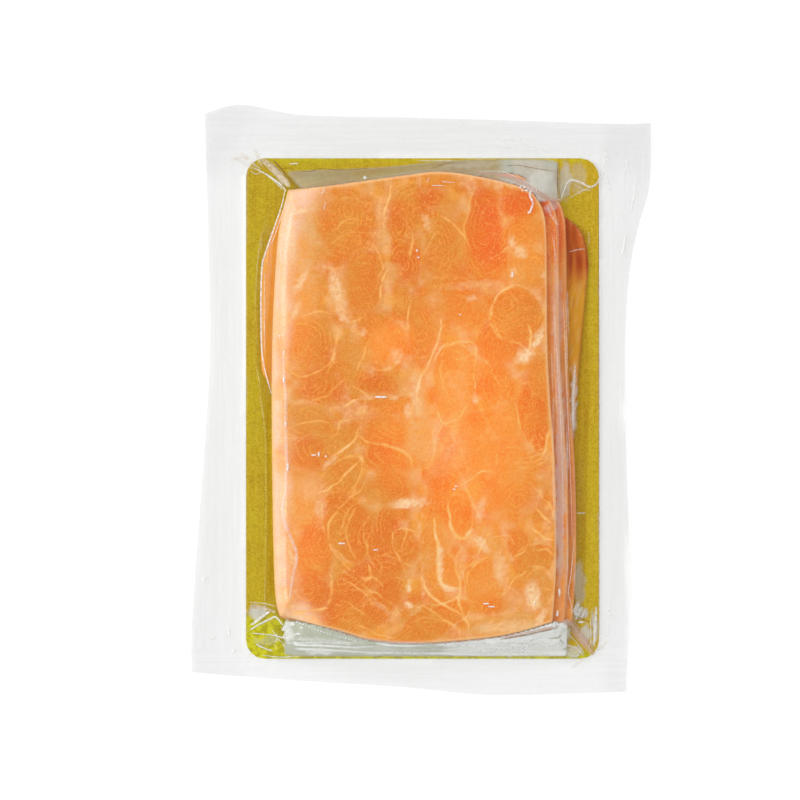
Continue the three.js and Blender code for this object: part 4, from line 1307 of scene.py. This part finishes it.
# %% What the films carry in their margin
FILM_VALUES = ("haze", "shade", "bright", "pale_haze", "sheen")  # nought where only the margin is milky


def margin_values(x, y):
    """How milky, loose and streaky the welded margin is."""
    inset = board_inset(x, y)
    margin = np.where(inset < 0, 1.0, 0.0)
    top = smooth_step(y, 100, 118)
    right = smooth_step(x, 85, 92)
    outer = smooth_step(-inset, 4, 22) * (x < -80)
    left = smooth_step(-x, 84, 90)
    milky = 0.15 + 0.075 * top + 0.06 * right + 0.03 * outer + 0.03 * left
    level = smooth_step(np.abs(y) - 116, 0, 6)
    return {"milky": milky * margin, "loose": margin, "level": level,
            **{name: np.zeros(x.shape) for name in FILM_VALUES}}


def pouch_sheet(across, along):
    """Places and faces of a film as wide as the pouch."""
    x, y = sheet_points(POUCH, across, along).reshape(-1, 2).T
    return x, y, sheet_faces(len(along), len(across))


beside_left, beside_right = margin_values(np.array([-90.0, 95.0]), np.zeros(2))["milky"]
print(f"the margin is {beside_left:.0%} milky on the left, {beside_right:.0%} on the right")

# %% [markdown]
# ## The front film
#
# The slopes of the front film catch the light in patches: a grey haze on the slopes at both ends, a
# shade at both long sides, and crumpled spots of sheen at the corners. These could be left to the
# lamps, but then they would hang on the exact lamps of the photographer. So they are painted on the
# mesh where the photograph shows them, and only where the film really stands off what lies under it.

# %% Sheen, haze and shade of the front film
# Each spot of sheen is the pixel of the middle, half width and half length in pixels, turn and
# strength.
SHEENS = [
    (565, 180, 7, 20, 0, 0.42), (579, 178, 7, 17, 0, 0.2), (540, 183, 17, 11, 0, 0.55),
    (470, 165, 30, 4, 3, 0.2), (257, 613, 9, 8, -20, 0.6), (288, 631, 5, 11, 0, 0.85),
    (268, 640, 14, 5, 10, 0.2), (505, 649, 64, 6.5, 0, 0.9), (372, 651, 56, 3.5, 0, 0.3),
    (320, 652, 14, 3.5, 0, 0.9), (330, 641, 34, 2.5, -6, 0.5), (584, 634, 6, 9, 0, 0.55),
    (580, 612, 7, 7, 0, 0.5), (574, 651, 8, 6, 0, 0.45), (594, 628, 3, 20, 0, 0.5),
    (579, 584, 6, 24, 0, 0.3), (566, 634, 5, 8, 0, 0.45), (552, 206, 8, 6, 30, 0.3),
    (557, 330, 5, 60, 0, 0.18), (560, 480, 5, 110, 0, 0.3), (573, 400, 3, 36, 0, 0.4),
    (283, 180, 4, 8, 40, 0.3),
]

# Zones by the pixels of their upper left and lower right corners.
TOP_SLOPE, LOW_SLOPE = ((270, 140), (556, 200)), ((286, 622), (566, 655))
LEFT_SLOPE, RIGHT_SLOPE = ((257, 230), (271, 600)), ((566, 230), (586, 600))
SLANT_START, SLANT = photo(285, 172), 0.85  # the haze at the top end begins along a slanted line


def zone(x, y, corners, soft):
    """1 inside a rectangle, soft at its border."""
    (west, north), (east, south) = (photo(*corner) for corner in corners)
    across = smooth_step(x, west - soft, west) * (1 - smooth_step(x, east, east + soft))
    return across * smooth_step(y, south - soft, south) * (1 - smooth_step(y, north, north + soft))


def spots_of_sheen(x, y):
    """The crumpled spots of sheen at the corners."""
    crumpled_x = x + 1.2 * value_noise(x, y, 2.5, 41)
    crumpled_y = y + 1.2 * value_noise(x, y, 2.5, 42)
    sheen = np.zeros(x.shape)
    for *oval, strength in SHEENS:
        sheen = np.maximum(sheen, strength * soft_oval(crumpled_x, crumpled_y, oval, 0.7, 1.15))
    return sheen


def front_values(x, y):
    """The margin's values, with the haze, glints, sheen and shade of the slopes."""
    free = film_height(x, y) - FILM_GAP - on_food(x, y)
    free = free * smooth_step(-TOP_SLICE.inset(x, y), 0.0, 0.7)
    hazy = smooth_step(free, 0.1, 0.8)
    slanted = smooth_step(x - SLANT_START[0] + SLANT * (y - SLANT_START[1]), 0, 3.0)
    low_haze = hazy * zone(x, y, LOW_SLOPE, 1)
    haze = np.maximum(0.8 * hazy * slanted * zone(x, y, TOP_SLOPE, 1.5), 0.92 * low_haze)
    top_paleness = 0.12 + 0.8 * smooth_step(x, 34, 46) + 0.2 * value_noise(x, y, 9, 31)
    values = margin_values(x, y)
    values["haze"] = haze
    values["bright"] = low_haze * (0.36 + 0.55 * smooth_step(x, 0, 30) + 0.12 * smooth_step(-y, 113, 118))
    values["pale_haze"] = np.where(y < 0, 0.75, top_paleness)
    values["sheen"] = spots_of_sheen(x, y)
    # The milky share also carries the painted haze and sheen of the slopes.
    values["milky"] = np.maximum(haze, np.maximum(values["sheen"], values["milky"]))
    sides = np.maximum(zone(x, y, RIGHT_SLOPE, 2), zone(x, y, LEFT_SLOPE, 1))
    values["shade"] = 0.45 * smooth_step(free, 0.05, 0.5) * sides
    return values


print(len(SHEENS), "spots of sheen")

# %% Front film
x, y, faces = pouch_sheet(shares_of(POUCH_WIDTH, [(20, 56), (148, 196)], 0.65, 1.6),
                          shares_of(POUCH_LENGTH, [(8, 42), (232, 262)], 0.65, 1.9))
points = np.stack([x, y, film_height(x, y)], axis=-1)
front = new_piece("front_film", points, faces, FILM, front_values(x, y))
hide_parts("film_front")

# %% [markdown]
# ## The back film
#
# The back film lies flat under the board. In the margin it curls up together with the front film, so
# its height there is the same curl. It is hardly seen, and so its mesh is coarse.

# %% Back film
BACK_HEIGHT = 0.2  # the back film's height over the table

x, y, faces = pouch_sheet(shares_of(POUCH_WIDTH, [], 1, 4.0), shares_of(POUCH_LENGTH, [], 1, 5.0))
lift = np.where(board_inset(x, y) < -MARGIN_START, margin_lift(x, y), 0)
points = np.stack([x, y, BACK_HEIGHT + lift], axis=-1)
back = new_piece("back_film", points, faces, FILM, margin_values(x, y))
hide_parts("film_back")

# %% [markdown]
# ## Creases
#
# Where the film is gathered it folds onto itself in narrow ridges. A ridge catches the light along
# its crest, and that light is painted on the strip as a fine white highlight, as are the streaks of
# light along the left shoulder, down the steps at the right and in the margin. The crumpled corners
# show cream and brown where the gold shines through, or mauve where the flesh does. A bump in the
# film's material would be lost from the side, so each ridge is a narrow strip with a raised middle
# that lies on the film.

# %% Creases by place
# The white tone is a painted highlight; cream, brown and mauve are gold and flesh seen through the film.
HIGHLIGHT_WHITE, CREAM, BROWN, MAUVE = 0.0, 0.34, 0.67, 1.0  # places on the ramp of crease tones
# Each is the width in pixels, the strength, the tone and the pixels that the ridge passes through.
CREASES = {
    "top left corner": [
        (8.0, 0.75, CREAM, (262, 160), (270, 166), (280, 176), (290, 187)),
        (1.8, 0.9, HIGHLIGHT_WHITE, (254, 168), (269, 176), (282, 186), (286, 192)),
        (1.2, 0.7, HIGHLIGHT_WHITE, (262, 172), (273, 180), (283, 190)),
        (1.8, 0.85, BROWN, (273, 160), (283, 171), (296, 187)),
        (0.9, 0.5, HIGHLIGHT_WHITE, (266, 162), (277, 173), (288, 185)),
        (4.5, 0.3, CREAM, (260, 168), (248, 160), (240, 152)),
        (4.0, 0.25, CREAM, (258, 170), (246, 165), (233, 157)),
        (3.0, 0.2, CREAM, (248, 158), (238, 158), (229, 161)),
        (4.0, 0.3, CREAM, (262, 166), (258, 158), (255, 149)),
        (1.0, 0.5, HIGHLIGHT_WHITE, (262, 170), (252, 163), (243, 156)),
        (1.0, 0.5, HIGHLIGHT_WHITE, (263, 168), (259, 160), (251, 152)),
        (1.2, 0.5, HIGHLIGHT_WHITE, (262, 172), (256, 174), (250, 171)),
        (1.2, 0.6, CREAM, (268, 164), (262, 160), (258, 163)),
        (0.9, 0.6, BROWN, (281, 168.5), (293, 168)), (1.3, 0.8, HIGHLIGHT_WHITE, (289, 164), (299, 163.5)),
    ],
    "top end": [
        (0.9, 0.6, BROWN, (297, 171), (311, 171.5), (319, 169), (345, 170), (372, 168)),
        (1.2, 0.6, HIGHLIGHT_WHITE, (416, 161), (455, 160.5)),
        (1.0, 0.5, BROWN, (430, 169.5), (446, 164), (470, 163)),
        (1.3, 0.6, HIGHLIGHT_WHITE, (325, 189), (322, 195)), (1.2, 0.6, HIGHLIGHT_WHITE, (431, 186), (445, 186.5)),
        (1.2, 0.6, HIGHLIGHT_WHITE, (441, 182), (455, 183.5)), (1.2, 0.5, HIGHLIGHT_WHITE, (429, 178), (427, 184)),
    ],
    "top right corner": [
        (2.6, 0.75, HIGHLIGHT_WHITE, (561, 199), (565, 188), (568, 182), (573, 180), (582, 183), (589, 187),
         (594, 186), (598, 182), (600, 177), (608, 166)),
        (1.1, 0.6, HIGHLIGHT_WHITE, (570, 198), (580, 192), (590, 188)),
        (1.0, 0.5, HIGHLIGHT_WHITE, (574, 184), (584, 190), (592, 190)),
        (6.0, 0.6, MAUVE, (475, 173), (500, 175), (512, 178), (524, 185), (536, 192), (548, 199),
         (562, 201)),
        (1.2, 0.7, HIGHLIGHT_WHITE, (478, 171.5), (500, 172), (512, 176), (526, 185), (540, 194), (552, 199.5),
         (562, 199)),
        (1.6, 0.8, HIGHLIGHT_WHITE, (519, 186), (525, 187), (532, 190)),
        (1.6, 0.7, HIGHLIGHT_WHITE, (500, 140), (514, 139.5), (530, 142)),
        (1.2, 0.6, HIGHLIGHT_WHITE, (505, 144), (530, 147), (551, 153)),
        (1.4, 0.6, HIGHLIGHT_WHITE, (496, 146), (516, 149), (538, 151)),
        (2.0, 0.6, HIGHLIGHT_WHITE, (604, 148), (606, 156), (603, 168)),
        (1.6, 0.6, HIGHLIGHT_WHITE, (606, 176), (608, 184), (610, 192)),
        (1.6, 0.5, HIGHLIGHT_WHITE, (626, 158), (627, 168), (625, 176)),
        (2.6, 0.8, HIGHLIGHT_WHITE, (625, 234), (624, 246), (621, 258)),
        (2.4, 0.6, HIGHLIGHT_WHITE, (636, 176), (634, 196), (630, 214)),
        (1.0, 0.6, BROWN, (557, 160), (557.5, 196)), (0.9, 0.4, HIGHLIGHT_WHITE, (566, 165), (567, 190)),
        (1.0, 0.6, BROWN, (507, 166), (518, 165.5), (526, 167), (556, 172)),
        (1.0, 0.4, HIGHLIGHT_WHITE, (500, 164), (530, 163), (554, 166)),
        (1.2, 0.5, HIGHLIGHT_WHITE, (606, 174), (608, 182), (610, 191)),
    ],
    "left side": [
        (1.8, 0.8, HIGHLIGHT_WHITE, (285, 191), (282, 205), (275, 226), (266, 252), (262, 268), (261, 310),
         (262, 350), (266, 374), (272, 395)),
        (1.1, 0.6, HIGHLIGHT_WHITE, (289, 193), (285, 206), (279, 224), (271, 246)),
        (1.0, 0.5, HIGHLIGHT_WHITE, (265, 270), (264.5, 310), (265, 352)),
        (3.6, 0.3, HIGHLIGHT_WHITE, (284, 350), (284, 372), (286, 396), (286, 430), (287, 462), (286, 482),
         (287, 492)),
        (4.0, 0.35, HIGHLIGHT_WHITE, (287, 490), (283, 504), (284, 518), (291, 537), (297, 555), (293, 578),
         (290, 598)),
        (1.2, 0.4, HIGHLIGHT_WHITE, (326, 203), (324, 211)),
    ],
    "right side": [
        (2.6, 0.85, HIGHLIGHT_WHITE, (531, 189), (529.5, 196), (532.5, 203), (531, 209), (529, 214)),
        (1.6, 0.45, BROWN, (598.3, 182), (598.8, 300), (599.2, 450), (599.4, 640)),
        (3.0, 0.35, HIGHLIGHT_WHITE, (547, 206), (551, 216), (558, 226)),
        (1.0, 0.35, HIGHLIGHT_WHITE, (551, 232), (556, 262), (557, 300)),
        (1.2, 0.35, HIGHLIGHT_WHITE, (588, 232), (589, 238), (588, 246)),
        (1.2, 0.5, HIGHLIGHT_WHITE, (569, 252), (577, 250), (585, 249)),
        (2.6, 0.5, HIGHLIGHT_WHITE, (575, 364), (573, 398), (573, 430)),
        (1.4, 0.6, BROWN, (566, 366), (570, 352), (575, 340)),
        (1.2, 0.6, HIGHLIGHT_WHITE, (574, 536), (571, 572), (568, 592), (571, 604), (572, 614)),
        (1.0, 0.5, HIGHLIGHT_WHITE, (563, 300), (566, 380), (570, 470), (572, 540)),
        (0.9, 0.5, HIGHLIGHT_WHITE, (552, 300), (558, 380), (562, 470), (563, 560)),
        (1.5, 0.6, HIGHLIGHT_WHITE, (576, 513), (586, 513)),
    ],
    "bottom left corner": [
        (3.2, 0.9, HIGHLIGHT_WHITE, (270, 611), (259, 619), (251, 625)),
        (2.6, 0.9, HIGHLIGHT_WHITE, (250, 630), (260, 624), (270, 619), (276, 617), (283, 625)),
        (1.4, 0.8, HIGHLIGHT_WHITE, (251, 633), (272, 635), (287, 638), (310, 640)),
        (1.2, 0.7, HIGHLIGHT_WHITE, (272, 630), (277, 636), (276, 642)),
        (1.2, 0.7, HIGHLIGHT_WHITE, (276, 638), (282, 642), (285, 648)),
        (2.2, 0.7, HIGHLIGHT_WHITE, (256, 644), (264, 648), (273, 651)),
        (1.2, 0.6, BROWN, (270, 621), (275, 627), (281, 634)),
        (5.0, 0.5, CREAM, (250, 605), (262, 608), (276, 612)),
        (1.0, 0.6, HIGHLIGHT_WHITE, (249, 602), (262, 603), (276, 606)),
        (1.4, 0.7, HIGHLIGHT_WHITE, (262, 655), (280, 657), (300, 656)),
    ],
    "bottom end": [
        (4.0, 0.55, MAUVE, (498, 637.5), (528, 632), (560, 625)),
        (2.0, 0.6, BROWN, (500, 639), (530, 633.5), (558, 627)),
        (2.4, 0.5, MAUVE, (330, 629), (360, 637), (400, 642), (450, 642), (498, 637)),
    ],
    "bottom right corner": [
        (10.0, 0.6, MAUVE, (562, 621), (572, 624), (578, 634), (588, 646), (593, 655)),
        (1.4, 0.8, HIGHLIGHT_WHITE, (566, 619), (575, 628), (584, 641), (592, 652)),
        (1.0, 0.6, HIGHLIGHT_WHITE, (561, 627), (568, 634), (578, 644), (584, 654)),
        (3.6, 0.65, HIGHLIGHT_WHITE, (596, 606), (595.5, 625), (594, 646)),
        (1.2, 0.7, HIGHLIGHT_WHITE, (590, 616), (591, 640), (588, 650)),
        (1.5, 0.6, BROWN, (573, 615), (582, 619), (589, 622)),
        (1.3, 0.8, HIGHLIGHT_WHITE, (577, 622), (587, 622)),
        (1.3, 0.7, HIGHLIGHT_WHITE, (568, 646), (576, 648), (584, 656)),
        (1.2, 0.7, HIGHLIGHT_WHITE, (567, 652), (573, 656), (580, 655)),
        (2.0, 0.4, CREAM, (592, 655), (600, 648), (608, 641)),
        (1.8, 0.35, CREAM, (584, 658), (578, 664), (571, 668)),
        (1.6, 0.8, HIGHLIGHT_WHITE, (610, 600), (608.5, 618), (607, 640)),
    ],
}
print(sum(len(rows) for rows in CREASES.values()), "creases placed by hand")

# %% Bright flecks: painted glints
# Painted glints, where the film catches the light in small spots. Each is the pixel of the middle,
# and the width and length in pixels.
GLINT_FLECKS = [
    (417, 251, 1.5, 2.5), (418, 258, 2.5, 1.4), (460, 315, 1.8, 1.8), (486, 603, 6, 1.3),
    (491, 606, 7, 1.3), (520, 188, 2, 1.5), (524, 188, 2, 1.5), (528, 188.5, 2, 1.5),
    (532, 189, 2.5, 2), (522, 191, 2, 1.5), (526, 191, 3, 1.5), (536, 191, 1.6, 2), (528, 213, 1.6, 2),
    (456, 486, 3, 1.2), (454, 489, 3, 1.2), (319, 454, 1.8, 5), (280, 336, 1.4, 1.4), (605, 150, 2, 2),
    (608, 159, 1.6, 2), (603, 166, 1.6, 2), (627, 163, 1.4, 7), (581, 622, 5, 2), (534, 602, 1.2, 3),
    (381, 397, 12, 1.8), (288, 467, 2, 8), (314, 455, 5, 1.5), (326, 456, 2, 2), (342, 543, 7, 1.5),
    (376, 549.5, 5, 1.3), (284, 353, 1.6, 4), (284, 380, 1.6, 6), (286, 424, 1.6, 4), (204, 579, 3, 6),
    (213, 638, 4, 2), (229, 632, 2, 9), (233, 651, 3, 4), (600, 648, 5, 3), (574, 663, 5, 3),
    (559, 592, 2, 8), (557, 613, 2, 6), (512, 275, 2, 5), (365, 178, 3, 3),
]
# A row of fine dots runs down to the right from here, under the top slice's lower left corner.
DOTS, DOTS_START, DOTS_RUN, DOTS_WAVE = 20, (297, 621.6), (58, 18), 1.5

for share in np.linspace(0, 1, DOTS):
    dot_x = DOTS_START[0] + DOTS_RUN[0] * share
    dot_y = DOTS_START[1] + DOTS_RUN[1] * share + DOTS_WAVE * math.sin(3 * share)
    GLINT_FLECKS.append((dot_x, dot_y, 1.9, 1.3))
print(len(GLINT_FLECKS), "flecks")

# %% Fields of fine creases
# Elsewhere the film is full of fine creases that nobody would place one by one. Each field is how
# many, the pixels of its upper left and lower right corners, the least and greatest length, the tilt
# and its spread in degrees, and the least and greatest width and strength.
FIELDS = [
    (16, (310, 642), (550, 655), (16, 70), 0, 2, (1.4, 3.0), (0.35, 0.75)),
    (14, (450, 643), (560, 652), (20, 50), 1, 2, (2.0, 4.0), (0.7, 0.95)),
    (12, (524, 631), (560, 642), (10, 22), 14, 5, (1.2, 2.2), (0.5, 0.9)),
    (9, (575, 606), (584, 617), (8, 14), 62, 5, (1.4, 2.4), (0.5, 0.85)),
    (8, (285, 624), (292, 638), (6, 12), 30, 8, (1.8, 3.6), (0.5, 0.9)),
    (9, (566, 300), (569, 600), (24, 60), 91, 1, (1.0, 1.6), (0.2, 0.35)),
    (10, (550, 220), (562, 600), (24, 70), 91, 1, (1.0, 1.8), (0.15, 0.3)),
]
FIELD_SEED = 5


def field_of_creases(chance, count, low, high, length, tilt, spread, width, strength):
    """White creases scattered over a field, each a little bowed; their white is a painted highlight."""
    lines = []
    for _ in range(count):
        x, y = chance.uniform(low[0], high[0]), chance.uniform(low[1], high[1])
        reach = chance.uniform(*length)
        turn = math.radians(tilt + chance.normal(0, spread))
        step_x, step_y = reach / 2 * math.cos(turn), -reach / 2 * math.sin(turn)
        bow = chance.uniform(-1, 1)
        points = (x - step_x, y - step_y), (x, y + bow), (x + step_x, y + step_y)
        lines.append((chance.uniform(*width), chance.uniform(*strength), HIGHLIGHT_WHITE, *points))
    return lines


chance = np.random.default_rng(FIELD_SEED)
crease_lines = [crease for rows in CREASES.values() for crease in rows]
for field in FIELDS:
    crease_lines += field_of_creases(chance, *field)
print(len(crease_lines), "creases in all")


# %% Ridges that lie on the film
RIDGE_PROFILE = ((-0.5, 0.0), (-0.25, 0.7), (0.0, 1.0), (0.25, 0.7), (0.5, 0.0))
RIDGE_GAP = 0.04  # a ridge's rim lies this far over the film, in millimetres
RIDGE_HEIGHT = 0.3  # greatest height of a ridge, and its height for each millimetre of width


def ridge(line, width, height):
    """Points and faces of a strip along a line, raised in its middle, tapered at its ends."""
    along = np.gradient(line, axis=0)
    along /= np.maximum(np.hypot(*along.T), 1e-9)[:, None]
    across = np.stack([-along[:, 1], along[:, 0]], axis=-1)
    share = np.linspace(0, 1, len(line))
    taper = np.clip(4 * share * (1 - share), 0, 1) ** 0.4 * 0.95 + 0.05
    points, profile = [], []
    for offset, rise in RIDGE_PROFILE:
        edge = line + across * (offset * width * taper)[:, None]
        z = film_height(edge[:, 0], edge[:, 1]) + RIDGE_GAP + rise * height * taper
        points.append(np.column_stack([edge, z]))
        profile.append(np.full(len(line), rise))
    points = np.stack(points, axis=1).reshape(-1, 3)
    return points, np.stack(profile, axis=1).ravel(), sheet_faces(len(line), len(RIDGE_PROFILE))


def ridges(name, lines, material):
    """One piece with a ridge along each line, that carries its strength and tone."""
    points, faces, strengths, tones = [], [], [], []
    count = 0
    for width, strength, tone_value, *pixels in lines:
        line = smooth_line(photo_line(*pixels), 6)
        height = min(RIDGE_HEIGHT, RIDGE_HEIGHT * width * PIXEL)
        strip, profile, quads = ridge(line, width * PIXEL, height)
        points.append(strip)
        faces.append(quads + count)
        strengths.append(strength * np.clip(0.25 + profile, 0, 1))
        tones.append(np.full(len(strip), tone_value))
        count += len(strip)
    values = {"strength": np.concatenate(strengths), "kind": np.concatenate(tones)}
    return new_piece(name, np.vstack(points), np.vstack(faces), material, values)


print("a ridge has", len(RIDGE_PROFILE), "points across")

# %% Finish of the creases: painted highlight and see-through tones
creased_film, tree = new_material("creased film")
broken = tree.between(tree.noise(tree.place(), 700, 2), 0.3, 0.6, 0.45, 1.0)
share = tree.math("MULTIPLY", tree.painted("strength"), broken, clamp=True)
# The white tone is a painted highlight; cream, brown and mauve are gold and flesh seen through the film.
crease_tone = tree.ramp(tree.painted("kind"), (HIGHLIGHT_WHITE, tone(246, 247, 244)), (CREAM, tone(234, 216, 190)),
                        (BROWN, tone(150, 104, 34)), (MAUVE, tone(222, 184, 166)))
bright = tree.principled(Base_Color=crease_tone, Roughness=0.3)
clear = tree.add("ShaderNodeBsdfTransparent", {"Color": (1, 1, 1, 1)})
tree.finish(tree.shader_mix(share, clear.outputs[0], bright))
print("creases:", len(creased_film.node_tree.nodes), "nodes")

# %% Creases and painted glints
GLINT_STRENGTH = 0.95
GLINT_SPREAD = 1.3  # a ridge is brightest in its middle, so a fleck's ridge is a little wider

glint_lines = []
for x, y, width, length in GLINT_FLECKS:
    low, high = (x, y - length / 2), (x, y + length / 2)
    if width > length:
        low, high, width = (x - width / 2, y), (x + width / 2, y), length
    glint_lines.append((width * GLINT_SPREAD, GLINT_STRENGTH, HIGHLIGHT_WHITE, low, (x, y), high))
ridges("film_creases", crease_lines, creased_film)
ridges("film_glints", glint_lines, creased_film)
